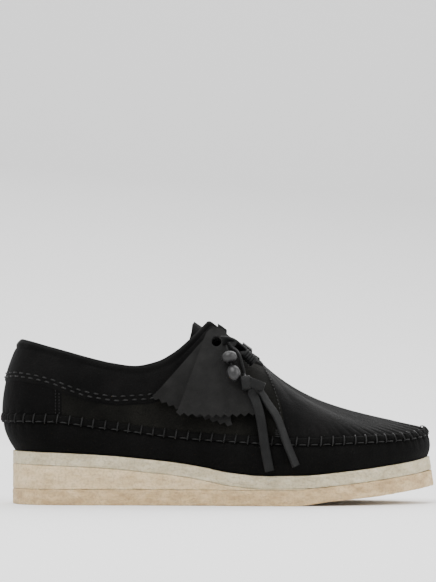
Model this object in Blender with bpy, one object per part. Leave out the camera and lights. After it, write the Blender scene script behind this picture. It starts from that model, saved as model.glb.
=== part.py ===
"""A right derby shoe with a raised moccasin seam, on a layered crepe wedge sole.

Metres, +Z up, +X to the toe. The outer side of the foot is at -Y, the inner side at +Y.
The origin is on the floor, under the middle of the shoe.
"""

import math

import bmesh
import bpy
import numpy as np
from mathutils import Matrix, Vector
from mathutils.bvhtree import BVHTree

# Sole
SOLE_LENGTH = 0.286
HEEL_WIDTH = 0.075
WAIST_WIDTH = 0.080
BALL_WIDTH = 0.106
HEEL_TOP = 0.0360
BALL_TOP = 0.0198
TOE_TOP = 0.0318
TOE_SPRING = 0.0120
OUTSOLE_THICK = 0.0105
MIDSOLE_THICK = 0.0086
WEDGE_EDGE = 0.0010
TOE_DRAFT = 0.0030
LAYER_BEVEL = 0.0008
INSOLE_THICK = 0.0040

# Upper
WALL = 0.0016
QUARTER_STEP = 0.0010
BAND_STEP = 0.0010
BAND_WIDTH = 0.0270
COLLAR_PAD = 0.0016
FEATHER_INSET = 0.0014
RIDGE_TALL = 0.0046
RIDGE_PROUD = 0.0016
RIDGE_BEVEL = 0.0007
HEEL_OVERHANG = 0.0065
SIDE_OVERHANG = 0.0015
TOE_OVERHANG = -0.0045
WALL_BULGE = 0.0020
SEAM_HEEL = 0.0560
SEAM_BALL = 0.0404
SEAM_TOE = 0.0480

# Opening
COLLAR_BACK_SET = 0.0138
COLLAR_BACK_HEIGHT = 0.1090
COLLAR_LOW_HEIGHT = 0.0906
COLLAR_WIDTH = 0.0670
FACING_SET = 0.1410
FACING_RISE = 0.0122
FACING_HEIGHT = COLLAR_BACK_HEIGHT + FACING_RISE
FACING_GAP = 0.0280
THROAT_SET = 0.1760
THROAT_HEIGHT = 0.0960
THROAT_GAP = 0.0165

# Tongue
TONGUE_SET = 0.1310
TONGUE_RISE = 0.0020
TONGUE_TOP = FACING_HEIGHT + TONGUE_RISE
TONGUE_WIDTH = 0.0500
TONGUE_THICK = 0.0026
TONGUE_LAP = 0.0160
TONGUE_SWEEP = 0.0060
TONGUE_GAP = 0.0016

# Fobs: their tops, and the lace's places further down, are shares of the sole's length ahead of the
# facing's corner and of that corner's height.
FOB_LENGTH = 0.0600
FOB_WIDTH = 0.0530
FOB_THICK = 0.0021
FOB_TOP_RADIUS = 0.0078
FOB_SAG = 0.0016
FOB_HOLE = 0.0064
FOB_HOLE_DROP = 0.0098
FOB_TOOTH = 0.0052
FOB_TOOTH_DEPTH = 0.0016
FOB_GAP = 0.0005
FOB_NECK = 0.7
FOB_LEAN = 1.2
FRONT_FOB_TOP = (0.0177, 0.9769)
FRONT_FOB_SWING = 0.0
REAR_FOB_TOP = (0.0295, 0.9604)
REAR_FOB_SWING = 20.0
REAR_FOB_GROWTH = 1.06

# Beads: width and height
ROUND_BEAD = (0.0104, 0.0084)
DROP_BEAD = (0.0090, 0.0112)
BORE = 0.0032
STRING = 0.0017
STRING_DEPTH = 0.0042

# Lace
LACE_WIDTH = 0.0062
LACE_THICK = 0.0018
LACE_CLEAR = 0.0006
LACE_STEP = 0.0025
BAR_REACH = 0.0150
BAR_MARGIN = 0.0015
KNOT_SIZE = (0.0148, 0.0060, 0.0098)
KNOT_PLACE = (0.0995, 0.6650)
WINDING_RADIUS = 0.0038
WINDING_LENGTH = 0.0094
WINDING_PLACE = (0.0939, 0.8078)
WINDING_SLOPE = 42.0
WINDING_TURNS = 5

# Clearance between pieces that touch
GAP = 0.0003

HEEL_REACH = HEEL_OVERHANG + RIDGE_PROUD
BACK = -(SOLE_LENGTH + HEEL_REACH) / 2
HEEL_X = BACK + HEEL_REACH
FACING_X = BACK + FACING_SET
STEPS_PER_ROW = 3

# Sole outline: share of the sole's length, the width it follows, and its outer and inner reach as
# shares of that width.
OUTLINE = [
    (0.000, HEEL_WIDTH, 0.000, 0.000),
    (0.020, HEEL_WIDTH, 0.280, 0.255),
    (0.075, HEEL_WIDTH, 0.450, 0.412),
    (0.160, HEEL_WIDTH, 0.507, 0.473),
    (0.300, WAIST_WIDTH, 0.506, 0.456),
    (0.420, WAIST_WIDTH, 0.552, 0.458),
    (0.540, BALL_WIDTH, 0.467, 0.392),
    (0.640, BALL_WIDTH, 0.499, 0.462),
    (0.730, BALL_WIDTH, 0.489, 0.499),
    (0.810, BALL_WIDTH, 0.434, 0.486),
    (0.885, BALL_WIDTH, 0.340, 0.434),
    (0.945, BALL_WIDTH, 0.212, 0.349),
    (0.985, BALL_WIDTH, 0.057, 0.231),
    (1.000, BALL_WIDTH, -0.075, 0.075),
]

# Sole top: share of the sole's length, then how much of the heel's and of the toe's rise it has.
SOLE_RISE = [
    (0.000, 1.000, 0.00),
    (0.216, 0.830, 0.00),
    (0.300, 0.700, 0.00),
    (0.384, 0.540, 0.00),
    (0.444, 0.370, 0.00),
    (0.517, 0.115, 0.00),
    (0.590, 0.000, 0.00),
    (0.680, 0.000, 0.02),
    (0.769, 0.000, 0.20),
    (0.898, 0.000, 0.58),
    (0.968, 0.000, 0.84),
    (1.000, 0.000, 1.00),
]

# Toe spring: share of the sole's length and of the spring.
SPRING = [
    (0.000, 0.00),
    (0.660, 0.00),
    (0.745, 0.24),
    (0.856, 0.50),
    (0.943, 0.79),
    (1.000, 1.00),
]

# Moccasin seam: share of the sole's length, shares of the heel's and the toe's rise above the ball,
# shares of the heel's and the toe's overhang beyond the side's, lean inwards in degrees, and share
# of the bulge of the wall under it.
SEAM = [
    (0.000, 1.00, 0.00, 1.00, 0.00, 0, 0.0),
    (0.110, 0.96, 0.00, 0.75, 0.00, 4, 0.2),
    (0.230, 0.68, 0.00, 0.35, 0.00, 8, 0.5),
    (0.370, 0.35, 0.00, 0.10, 0.00, 10, 0.6),
    (0.510, 0.14, 0.00, 0.00, 0.00, 12, 0.8),
    (0.675, 0.00, 0.00, 0.00, 0.05, 16, 1.0),
    (0.810, 0.00, 0.16, 0.00, 0.25, 24, 1.0),
    (0.920, 0.00, 0.36, 0.00, 0.70, 30, 1.0),
    (1.000, 0.00, 1.00, 0.00, 1.00, 34, 1.0),
]

# Edge of the opening over each place of the seam: the place as a share of the sole's length, the
# shares of the way to the facing's corner and on to the throat, shares of the collar's, facing's
# and throat's half widths, shares of the back's, facing's and throat's rise above the low collar,
# the turn of the wall in degrees, and how far the wall has its side shape, not its toe shape.
EDGE = [
    (0.000, 0.000, 0.0, 0.00, 0.0, 0.00, 1.00, 0.00, 0.00, 18, 1.00),
    (0.020, 0.018, 0.0, 0.31, 0.0, 0.00, 0.98, 0.00, 0.00, 20, 1.00),
    (0.050, 0.065, 0.0, 0.54, 0.0, 0.00, 0.90, 0.00, 0.00, 24, 1.00),
    (0.090, 0.145, 0.0, 0.70, 0.0, 0.00, 0.74, 0.00, 0.00, 28, 1.00),
    (0.145, 0.255, 0.0, 0.84, 0.0, 0.00, 0.53, 0.00, 0.00, 34, 1.00),
    (0.205, 0.375, 0.0, 0.94, 0.0, 0.00, 0.30, 0.00, 0.00, 40, 1.00),
    (0.265, 0.500, 0.0, 0.99, 0.0, 0.00, 0.10, 0.00, 0.00, 44, 1.00),
    (0.325, 0.620, 0.0, 1.00, 0.0, 0.00, 0.00, 0.00, 0.00, 48, 1.00),
    (0.375, 0.730, 0.0, 0.94, 0.0, 0.00, 0.00, 0.09, 0.00, 51, 1.00),
    (0.425, 0.830, 0.0, 0.82, 0.0, 0.00, 0.00, 0.32, 0.00, 54, 1.00),
    (0.470, 0.920, 0.0, 0.62, 0.0, 0.00, 0.00, 0.66, 0.00, 57, 1.00),
    (0.515, 1.000, 0.0, 0.00, 1.0, 0.00, 0.00, 1.00, 0.00, 60, 1.00),
    (0.575, 1.000, 0.5, 0.00, 0.5, 0.52, 0.00, 0.46, 0.48, 60, 1.00),
    (0.632, 1.000, 0.9, 0.00, 0.0, 1.00, 0.00, 0.06, 0.94, 60, 0.95),
    (0.700, 1.000, 0.95, 0.00, 0.0, 0.84, 0.00, 0.00, 1.04, 63, 0.68),
    (0.810, 1.000, 0.98, 0.00, 0.0, 0.58, 0.00, 0.00, 1.02, 67, 0.34),
    (0.915, 1.000, 1.0, 0.00, 0.0, 0.30, 0.00, 0.00, 1.00, 71, 0.10),
    (1.000, 1.000, 1.0, 0.00, 0.0, 0.00, 0.00, 0.00, 1.00, 74, 0.00),
]

# Where the quarter's front edge meets the seam, and where the collar's pad ends, as shares of the
# sole's length.
QUARTER_FRONT = 0.640
PAD_FRONT = 0.500

# Collar band: share of the sole's length under it, and share of the band's width.
BAND = [
    (0.000, 1.07),
    (0.100, 1.08),
    (0.170, 1.14),
    (0.240, 1.09),
    (0.310, 0.98),
    (0.400, 0.93),
    (0.500, 0.86),
    (0.575, 0.68),
    (0.640, 0.45),
]

# Lace bars over the gap between the facings: shares of the sole's length ahead of the corner.
BARS = {"lace_bar_top": 0.0316, "lace_bar_low": 0.0911}

# Lace routes: share of the sole's length ahead of the facing's corner, share of the corner's height,
# and the turn of the flat face in degrees.
LACE_FOLD = [
    (0.0306, 0.9009, -20),
    (0.0446, 0.9043, -50),
    (0.0586, 0.8919, -62),
    (0.0701, 0.8745, -58),
    (0.0799, 0.8523, -45),
]
LACE_DROP = [
    (0.0554, 0.8564, 80),
    (0.0659, 0.8399, 82),
    (0.0726, 0.8086, 84),
    (0.0774, 0.7723, 86),
    (0.0827, 0.7137, 88),
]
LACE_FRONT = [
    (0.1009, 0.6089, 8),
    (0.1093, 0.5594, 10),
    (0.1173, 0.4950, 12),
    (0.1299, 0.3062, 12),
    (0.1393, 0.1923, 14),
]
LACE_REAR = [
    (0.1233, 0.6056, 48),
    (0.1376, 0.5511, 46),
    (0.1540, 0.4950, 44),
    (0.1785, 0.3433, 42),
    (0.1998, 0.2195, 42),
]

# Bead string, placed like the lace. The beads sit on its middle and its end.
BEAD_STRING = [
    (0.0407, 0.8745),
    (0.0470, 0.8078),
    (0.0572, 0.7219),
]


def monotone(xs, ys, x):
    """A smooth curve through the rows that never swings past them."""
    xs, ys = np.asarray(xs, float), np.asarray(ys, float)
    step = np.diff(xs)
    slope = np.diff(ys) / step
    tangent = np.zeros(len(xs))
    same = slope[1:] * slope[:-1] > 0
    before = 2 * step[1:] + step[:-1]
    after = step[1:] + 2 * step[:-1]
    with np.errstate(divide="ignore", invalid="ignore"):
        mean = (before + after) / (before / slope[:-1] + after / slope[1:])
    tangent[1:-1] = np.where(same, mean, 0.0)
    tangent[0], tangent[-1] = slope[0], slope[-1]
    x = np.clip(x, xs[0], xs[-1])
    i = np.clip(np.searchsorted(xs, x, side="right") - 1, 0, len(step) - 1)
    t = (x - xs[i]) / step[i]
    rise = (ys[i + 1] - ys[i]) * (3 * t**2 - 2 * t**3)
    bend = step[i] * (tangent[i] * t * (1 - t) ** 2 - tangent[i + 1] * t**2 * (1 - t))
    return ys[i] + rise + bend


def column(table, k):
    return [row[k] for row in table]


def closed_spline(knots):
    """Second derivatives of the smooth closed curve through evenly counted knots."""
    n = len(knots)
    matrix = 4 * np.eye(n) + np.roll(np.eye(n), 1, axis=1) + np.roll(np.eye(n), -1, axis=1)
    bend = 6 * (np.roll(knots, 1, axis=0) - 2 * knots + np.roll(knots, -1, axis=0))
    return np.linalg.solve(matrix, bend)


def outline_knots():
    outer = [(HEEL_X + a * SOLE_LENGTH, -w * lateral) for a, w, lateral, _ in OUTLINE]
    inner = [(HEEL_X + a * SOLE_LENGTH, w * medial) for a, w, _, medial in OUTLINE[1:-1]]
    return np.array(outer + inner[::-1])


KNOTS = outline_knots()
BENDS = closed_spline(KNOTS)
HALF = len(OUTLINE) - 1


def outline(side, s):
    """The sole's outline at s, from 0 at the heel to 1 at the toe, on the side -1 or +1."""
    p = np.where(side < 0, s * HALF, 2 * HALF - s * HALF) % (2 * HALF)
    i = np.floor(p).astype(int) % (2 * HALF)
    j = (i + 1) % (2 * HALF)
    t = (p - np.floor(p))[:, None]
    a, b = 1 - t, t
    flat = a * KNOTS[i] + b * KNOTS[j]
    return flat + ((a**3 - a) * BENDS[i] + (b**3 - b) * BENDS[j]) / 6


def outward(side, s):
    """The outline's direction away from the shoe, in plan."""
    small = 1e-4
    ahead = np.where(s + small > 1, 1 - (s + small - 1), s + small)
    behind = np.abs(s - small)
    side_ahead = np.where(s + small > 1, -side, side)
    side_behind = np.where(s - small < 0, -side, side)
    d = outline(side_ahead, ahead) - outline(side_behind, behind)
    n = np.stack([d[:, 1], -d[:, 0]], axis=1) * -side[:, None]
    return n / np.linalg.norm(n, axis=1)[:, None]


DENSE = np.linspace(0, 1, 801)
DENSE_X = outline(-np.ones(len(DENSE)), DENSE)[:, 0]


def s_at(share):
    """Where along the outline a share of the sole's length is."""
    return np.interp(HEEL_X + np.asarray(share) * SOLE_LENGTH, DENSE_X, DENSE)


def length_share(x):
    return np.clip((x - HEEL_X) / SOLE_LENGTH, 0, 1)


def sole_top(x):
    a = length_share(x)
    heel = monotone(column(SOLE_RISE, 0), column(SOLE_RISE, 1), a)
    toe = monotone(column(SOLE_RISE, 0), column(SOLE_RISE, 2), a)
    return BALL_TOP + heel * (HEEL_TOP - BALL_TOP) + toe * (TOE_TOP - BALL_TOP)


def sole_bottom(x):
    return TOE_SPRING * monotone(column(SPRING, 0), column(SPRING, 1), length_share(x))


def midsole_bottom(x):
    return sole_top(x) - MIDSOLE_THICK


def outsole_top(x):
    return np.minimum(sole_bottom(x) + OUTSOLE_THICK, midsole_bottom(x) - GAP)


def material(name, colour, roughness, metallic=0.0):
    made = bpy.data.materials.new(name)
    made.use_nodes = True
    shader = made.node_tree.nodes["Principled BSDF"]
    shader.inputs["Base Color"].default_value = (*colour, 1.0)
    shader.inputs["Roughness"].default_value = roughness
    shader.inputs["Metallic"].default_value = metallic
    return made


def solid(name, points, faces, look, smooth_angle=40):
    """A closed body from points and faces, facing out and shaded smooth."""
    mesh = bpy.data.meshes.new(name)
    mesh.from_pydata([tuple(p) for p in points], [], faces)
    bm = bmesh.new()
    bm.from_mesh(mesh)
    bmesh.ops.recalc_face_normals(bm, faces=bm.faces)
    bm.to_mesh(mesh)
    bm.free()
    mesh.shade_smooth()
    mesh.set_sharp_from_angle(angle=math.radians(smooth_angle))
    mesh.materials.append(look)
    made = bpy.data.objects.new(name, mesh)
    bpy.context.collection.objects.link(made)
    return made


def half_steps(end=1.0):
    """Even steps along one side of the outline, up to a share of it."""
    count = max(4, round(HALF * STEPS_PER_ROW * end))
    return np.linspace(0, end, count + 1)


def loop_of(half):
    """The closed walk along the outer side to the front and back along the inner side."""
    meets = half[-1] >= 1
    back = half[-2:0:-1] if meets else half[:0:-1]
    s = np.concatenate([half, back])
    side = np.concatenate([-np.ones(len(half)), np.ones(len(back))])
    return side, s


def cap(first, count, half_count):
    """Faces across the shoe between the outer and inner points of one ring."""
    faces = []
    for i in range(half_count):
        outer = (i, i + 1)
        inner = ((count - i) % count, (count - i - 1) % count)
        face = [outer[0], outer[1], inner[1], inner[0]]
        face = [first + v for v in dict.fromkeys(face)]
        if len(face) > 2:
            faces.append(face)
    return faces


def slab(name, half, rings, look):
    """A body from rings, lowest first, each a pair of inset and height function."""
    side, s = loop_of(half)
    n = outward(side, s)
    count, points, faces = len(s), [], []
    for inset, height in rings:
        flat = outline(side, s) - n * np.asarray(inset).reshape(-1, 1)
        points.extend(np.column_stack([flat, height(flat[:, 0])]))
    for k in range(len(rings) - 1):
        for i in range(count):
            j = (i + 1) % count
            faces.append([k * count + i, k * count + j, (k + 1) * count + j, (k + 1) * count + i])
    faces += cap(0, count, len(half) - 1)
    faces += cap((len(rings) - 1) * count, count, len(half) - 1)
    return solid(name, points, faces, look)


def draft(side, s):
    """How far the sole's side is drawn in at its top edge: only at the toe."""
    a = length_share(outline(side, s)[:, 0])
    return TOE_DRAFT * np.clip((a - 0.8) / 0.2, 0, 1) ** 2


def layer_rings(half, low, high, low_share, high_share, inset=0.0):
    """Four rings of a sole layer with bevelled edges, drawn in towards the top at the toe."""
    side, s = loop_of(half)
    lean = draft(side, s)
    return [
        (lean * low_share + inset + LAYER_BEVEL, low),
        (lean * low_share + inset, lambda x: low(x) + LAYER_BEVEL),
        (lean * high_share + inset, lambda x: high(x) - LAYER_BEVEL),
        (lean * high_share + inset + LAYER_BEVEL, high),
    ]


def make_sole(looks):
    half = half_steps()
    slab("outsole", half, layer_rings(half, sole_bottom, outsole_top, 0.0, 0.45), looks["crepe_low"])
    slab("midsole", half, layer_rings(half, midsole_bottom, sole_top, 0.5, 1.0), looks["crepe_top"])
    x = np.linspace(HEEL_X, HEEL_X + 0.7 * SOLE_LENGTH, 400)
    room = midsole_bottom(x) - outsole_top(x) - 2 * GAP
    front = x[np.argmax(room < WEDGE_EDGE)]
    half = half_steps(float(np.interp(front, DENSE_X, DENSE)))
    side, s = loop_of(half)
    edge = np.full(len(s), GAP)
    rings = [
        (edge, lambda v: outsole_top(v) + GAP),
        (edge, lambda v: midsole_bottom(v) - GAP),
    ]
    slab("heel_wedge", half, rings, looks["crepe_mid"])


def seam_table(side, s):
    """Height, overhang, lean and bulge of the seam around the shoe."""
    at = s_at(column(SEAM, 0))
    h, t, oh, ot, lean, bulge = (monotone(at, column(SEAM, k), s) for k in range(1, 7))
    height = SEAM_BALL + h * (SEAM_HEEL - SEAM_BALL) + t * (SEAM_TOE - SEAM_BALL)
    over = SIDE_OVERHANG + oh * (HEEL_OVERHANG - SIDE_OVERHANG)
    over = over + ot * (TOE_OVERHANG - SIDE_OVERHANG)
    return height, over, np.radians(lean), bulge * WALL_BULGE


def wall_point(side, s, share):
    """The upper under the seam, from the sole at 0 to the seam at 1."""
    height, over, _, bulge = seam_table(side, s)
    n = outward(side, s)
    feather = outline(side, s) - n * (FEATHER_INSET + draft(side, s)[:, None])
    seam = outline(side, s) + n * over[:, None]
    out = 1 - (1 - share) ** 1.8
    flat = feather + (seam - feather) * out + n * (bulge * math.sin(math.pi * share))[:, None]
    low = sole_top(feather[:, 0]) + GAP
    return np.column_stack([flat, low + (height - low) * share])


def seam_top(side, s):
    _, _, lean, _ = seam_table(side, s)
    n = outward(side, s)
    base = wall_point(side, s, 1.0)
    base[:, :2] -= n * (RIDGE_TALL * np.sin(lean))[:, None]
    base[:, 2] += RIDGE_TALL * np.cos(lean)
    return base


def edge_point(side, s):
    """The outer edge of the opening."""
    at = s_at(column(EDGE, 0))
    c = [monotone(at, column(EDGE, k), s) for k in range(1, 9)]
    x = BACK + COLLAR_BACK_SET + c[0] * (FACING_SET - COLLAR_BACK_SET) + c[1] * (THROAT_SET - FACING_SET)
    y = (c[2] * COLLAR_WIDTH + c[3] * FACING_GAP + c[4] * THROAT_GAP) / 2
    low = COLLAR_LOW_HEIGHT
    z = low + c[5] * (COLLAR_BACK_HEIGHT - low) + c[6] * (FACING_HEIGHT - low)
    z = z + c[7] * (THROAT_HEIGHT - low)
    return np.column_stack([x, y * side, z])


def upper_point(side, s, t):
    """The upper above the seam, from the seam at 0 to the edge at 1. t may differ from place to place."""
    at = s_at(column(EDGE, 0))
    turn = np.radians(monotone(at, column(EDGE, 9), s))
    sided = monotone(at, column(EDGE, 10), s)
    t = np.broadcast_to(t, s.shape)
    across = sided * (1 - np.cos(turn * t)) / (1 - np.cos(turn)) + (1 - sided) * t
    up = sided * np.sin(turn * t) / np.sin(turn) + (1 - sided) * (0.52 * t + 0.48 * t**4)
    foot, edge = seam_top(side, s), edge_point(side, s)
    return foot + (edge - foot) * np.column_stack([across, across, up])


def ring_normals(lines):
    """Outward directions of a grid of rings, from its neighbours."""
    around = np.roll(lines, -1, axis=1) - np.roll(lines, 1, axis=1)
    up = np.gradient(lines, axis=0)
    n = np.cross(around, up)
    return n / np.linalg.norm(n, axis=2)[:, :, None]


def band_start(side, s):
    """Where the collar band starts on each line from the seam to the edge."""
    t = np.linspace(0, 1, 41)
    lines = np.array([upper_point(side, s, v) for v in t])
    run = np.linalg.norm(np.diff(lines, axis=0), axis=2)
    left = np.concatenate([np.cumsum(run[::-1], axis=0)[::-1], np.zeros((1, len(s)))])
    width = BAND_WIDTH * monotone(s_at(column(BAND, 0)), column(BAND, 1), s)
    return np.array([np.interp(-width[i], -left[:, i], t) for i in range(len(s))])


def upper_ring():
    """The places around the upper, with a close pair at each quarter's front edge."""
    half = half_steps()
    front, close = float(s_at(QUARTER_FRONT)), 0.0008
    half = half[np.abs(half - front) > 0.004]
    half = np.sort(np.append(half, [front - close, front + close]))
    side, s = loop_of(half)
    return side, s, s < front


def upper_grid():
    """The upper's rings in order: up the outside, over the edge and down the inside."""
    side, s, quarter = upper_ring()
    band = band_start(side, s)
    shares = [0.0, 0.2, 0.45, 0.72, 1.0]
    base = [wall_point(side, s, v) for v in shares]
    base.append(seam_top(side, s) + np.array([0, 0, 1e-5]))
    low_lines = [0.14, 0.4, 0.7]
    high_lines = [0.03, 0.4, 0.75, 1.0]
    base += [upper_point(side, s, band * v) for v in low_lines]
    base.append(upper_point(side, s, band))
    base += [upper_point(side, s, band + (1 - band) * v) for v in high_lines]
    base = np.array(base)
    n = ring_normals(base)
    step = np.where(quarter, QUARTER_STEP, 0.0)
    raised = np.where(quarter, QUARTER_STEP + BAND_STEP, 0.0)
    foot, top, start, end = 4, 5, 9, len(base) - 1

    def out(k, amount):
        return base[k] + n[k] * np.broadcast_to(amount, s.shape)[:, None]

    rings = [out(k, 0.0) for k in range(foot + 1)]
    up = base[top] - base[foot]
    up = up / np.linalg.norm(up, axis=1)[:, None]
    rings.append(out(foot, RIDGE_PROUD) + up * RIDGE_BEVEL)
    rings.append(out(top, RIDGE_PROUD) - up * RIDGE_BEVEL)
    rings += [out(k, step) for k in range(top, start + 1)]
    rings += [out(k, raised) for k in range(start + 1, end + 1)]
    pad = np.where(quarter, COLLAR_PAD, 0.0) * np.clip((s_at(PAD_FRONT) - s) / 0.06, 0, 1)
    inside = base[end] - n[end] * (WALL + pad)[:, None]
    outside = rings[-1]
    middle, reach = (outside + inside) / 2, np.linalg.norm(outside - inside, axis=1) / 2
    ahead = base[end] - base[end - 1]
    ahead = ahead / np.linalg.norm(ahead, axis=1)[:, None]
    for angle in np.radians([45, 90, 135]):
        rings.append(
            middle
            + (outside - middle) * math.cos(angle)
            + ahead * (reach * math.sin(angle))[:, None]
        )
    rings.append(inside)
    for k, thick in [(12, 1.0), (11, 0.8), (9, 0.3), (7, 0.0), (5, 0.0), (4, 0.0), (3, 0.0), (1, 0.0)]:
        rings.append(base[k] - n[k] * (WALL + thick * pad)[:, None])
    bottom = base[0].copy()
    bottom[:, :2] -= outward(side, s) * WALL
    bottom[:, 2] = sole_top(bottom[:, 0]) + GAP
    rings.append(bottom)
    return np.array(rings)


def torus_faces(rows, count):
    """Faces of rings that close both around the shoe and through its opening."""
    faces = []
    for k in range(rows):
        for i in range(count):
            j, m = (i + 1) % count, (k + 1) % rows
            faces.append([k * count + i, k * count + j, m * count + j, m * count + i])
    return faces


def make_upper(looks):
    rings = upper_grid()
    rows, count = rings.shape[:2]
    made = solid("upper", rings.reshape(-1, 3), torus_faces(rows, count), looks["suede"], 35)
    return rings, made


def make_insole(looks):
    half = half_steps()
    side, s = loop_of(half)
    inset = FEATHER_INSET + draft(side, s) + WALL + GAP
    rings = [
        (inset, lambda x: sole_top(x) + GAP),
        (inset, lambda x: sole_top(x) + INSOLE_THICK - LAYER_BEVEL),
        (inset + LAYER_BEVEL, lambda x: sole_top(x) + INSOLE_THICK),
    ]
    slab("insole", half, rings, looks["lining"])


def inside_of(rings):
    """The upper's inner surface and edge, to measure from."""
    rows, count = rings.shape[:2]
    points = [Vector(p) for p in rings.reshape(-1, 3)]
    return BVHTree.FromPolygons(points, torus_faces(rows, count)[16 * count :])


def under(tree, x, y):
    """The point straight above (x, y) on the inner surface, and its way inwards, if there is one."""
    place, normal, _, _ = tree.ray_cast(Vector((x, y, sole_top(x) + 0.02)), Vector((0, 0, 1)))
    if place is None:
        return None
    return np.array(place), np.array(normal if normal.z < 0 else -normal)


def make_tongue(rings, looks):
    tree = inside_of(rings)
    front = BACK + THROAT_SET + TONGUE_LAP
    tip = BACK + TONGUE_SET
    throat = BACK + THROAT_SET
    start = THROAT_HEIGHT - WALL - TONGUE_GAP
    rise = (TONGUE_TOP - start) / (tip - throat)
    columns = np.linspace(-1, 1, 13)
    outer = []
    for x_row in np.linspace(front, tip, 11):
        swept = TONGUE_SWEEP * ((front - x_row) / (front - tip)) ** 2
        row = []
        for c in columns:
            x, y = x_row - swept * c**2, c * TONGUE_WIDTH / 2
            hit = under(tree, x, y)
            row.append(None if hit is None else hit[0] + hit[1] * TONGUE_GAP)
        outer.append(fill_row(row, x_row, columns, throat, start, rise, swept))
    outer = np.array(outer)
    n = np.cross(np.gradient(outer, axis=0), np.gradient(outer, axis=1))
    n = n / np.linalg.norm(n, axis=2)[:, :, None]
    n = n * np.sign(n[:, :, 2:3])
    return plate("tongue", outer, outer - n * TONGUE_THICK, looks["tongue"])


def fill_row(row, x_row, columns, throat, start, rise, swept):
    """The tongue's row with its open middle arched between the parts under the facings."""
    known = [i for i, p in enumerate(row) if p is not None]
    middle = len(row) // 2
    left = max([i for i in known if i < middle], default=None)
    right = min([i for i in known if i > middle], default=None)
    if row[middle] is not None:
        return row
    crown = start + rise * (x_row - throat)
    for i in range(len(row)):
        if row[i] is None:
            end = left if i < middle else right
            share = abs(columns[i]) / abs(columns[end])
            z = crown - (crown - row[end][2]) * share**2
            row[i] = np.array([x_row - swept * columns[i] ** 2, columns[i] * TONGUE_WIDTH / 2, z])
    return row


def plate(name, front, back, look):
    """A closed body between two grids of the same size."""
    rows, count = front.shape[:2]
    points = np.concatenate([front.reshape(-1, 3), back.reshape(-1, 3)])
    size, faces = rows * count, []
    for r in range(rows - 1):
        for c in range(count - 1):
            a = r * count + c
            face = [a, a + 1, a + count + 1, a + count]
            faces += [face, [v + size for v in reversed(face)]]
    rim = list(range(count))
    rim += [r * count + count - 1 for r in range(1, rows)]
    rim += [(rows - 1) * count + c for c in range(count - 2, -1, -1)]
    rim += [r * count for r in range(rows - 2, 0, -1)]
    for a, b in zip(rim, rim[1:] + rim[:1]):
        faces.append([b, a, a + size, b + size])
    return solid(name, points, faces, look)


def tree_of(made):
    """A made object's surface, to measure from."""
    points = [v.co.copy() for v in made.data.vertices]
    return BVHTree.FromPolygons(points, [tuple(f.vertices) for f in made.data.polygons])


def spot(ahead, height):
    """A place beside the shoe from its shares: how far along it, and its height."""
    return FACING_X + ahead * SOLE_LENGTH, height * FACING_HEIGHT


def fob_half_width(b, growth):
    """Half the fob's width at a distance from its top: a round head, then straight sides."""
    neck = FOB_NECK * FOB_TOP_RADIUS
    if b < neck:
        return math.sqrt(FOB_TOP_RADIUS**2 - (FOB_TOP_RADIUS - b) ** 2)
    head = FOB_TOP_RADIUS * math.sqrt(1 - (1 - FOB_NECK) ** 2)
    return head + (growth * FOB_WIDTH / 2 - head) * (b - neck) / (FOB_LENGTH - neck)


def nearest_depth(trees, x, z):
    """The depth of the first surface seen from the outer side at (x, z)."""
    start, way = Vector((x, -0.2, z)), Vector((0, 1, 0))
    hits = [tree.ray_cast(start, way)[0] for tree in trees]
    depths = [hit.y for hit in hits if hit is not None and hit.y < -FACING_GAP / 4]
    return min(depths) if depths else None


def fob_depths(trees, place, rows, growth):
    """A depth and a slant for each row, clear of what the fob hangs against."""
    shares = np.linspace(-1, 1, 9)
    fits = []
    for b in rows:
        found = []
        for c in shares:
            a = c * fob_half_width(b, growth)
            for near in (-0.002, 0.0, 0.002):
                x, z = place(a, b + near)
                y = nearest_depth(trees, x, z)
                if y is not None:
                    found.append((a, y))
        fits.append(found if len(found) > len(shares) else None)
    slants = [np.polyfit(*zip(*found), 1)[0] for found in fits if found]
    slant = float(np.mean(slants))
    depths = [min(y - slant * a for a, y in found) if found else None for found in fits]
    first = next(i for i, d in enumerate(depths) if d is not None)
    fall = (depths[first] - depths[first + 1]) / (rows[first + 1] - rows[first])
    for i in range(first):
        depths[i] = depths[first] + min(fall, FOB_LEAN) * (rows[first] - rows[i])
    smooth = np.convolve([depths[0], *depths, depths[-1]], [0.25, 0.5, 0.25], mode="valid")
    return np.minimum(smooth, depths), slant


def make_fob(name, top, swing, growth, trees, looks):
    """A draped leather fob with a pinked lower edge and a hole."""
    turn, (top_x, top_z) = math.radians(swing), spot(*top)
    teeth = round(growth * FOB_WIDTH / FOB_TOOTH)
    head = [0.12 * FOB_TOP_RADIUS, 0.45 * FOB_TOP_RADIUS]
    rows = np.array(head + list(np.linspace(FOB_TOP_RADIUS, FOB_LENGTH, 9)))

    def place(a, b):
        x = top_x + a * math.cos(turn) - b * math.sin(turn)
        return x, top_z - a * math.sin(turn) - b * math.cos(turn)

    depths, slant = fob_depths(trees, place, rows, growth)
    front = []
    for r, b in enumerate(rows):
        line = []
        for k in range(2 * teeth + 1):
            c = k / teeth - 1
            low = (b / FOB_LENGTH) ** 3
            drop = b - FOB_SAG * low * c**2
            if r == len(rows) - 1 and k % 2 == 0:
                drop -= FOB_TOOTH_DEPTH
            a = c * fob_half_width(b, growth)
            x, z = place(a, drop)
            line.append((x, depths[r] + slant * a - FOB_GAP - FOB_THICK, z))
        front.append(line)
    front = np.array(front)
    made = plate(name, front, front + np.array([0, FOB_THICK, 0]), looks["fob"])
    hole_x, hole_z = place(0, FOB_HOLE_DROP)
    hole_y = float(np.interp(FOB_HOLE_DROP, rows, depths)) - FOB_GAP - FOB_THICK / 2
    punch(made, (hole_x, hole_y, hole_z), FOB_HOLE / 2)
    return made


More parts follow.
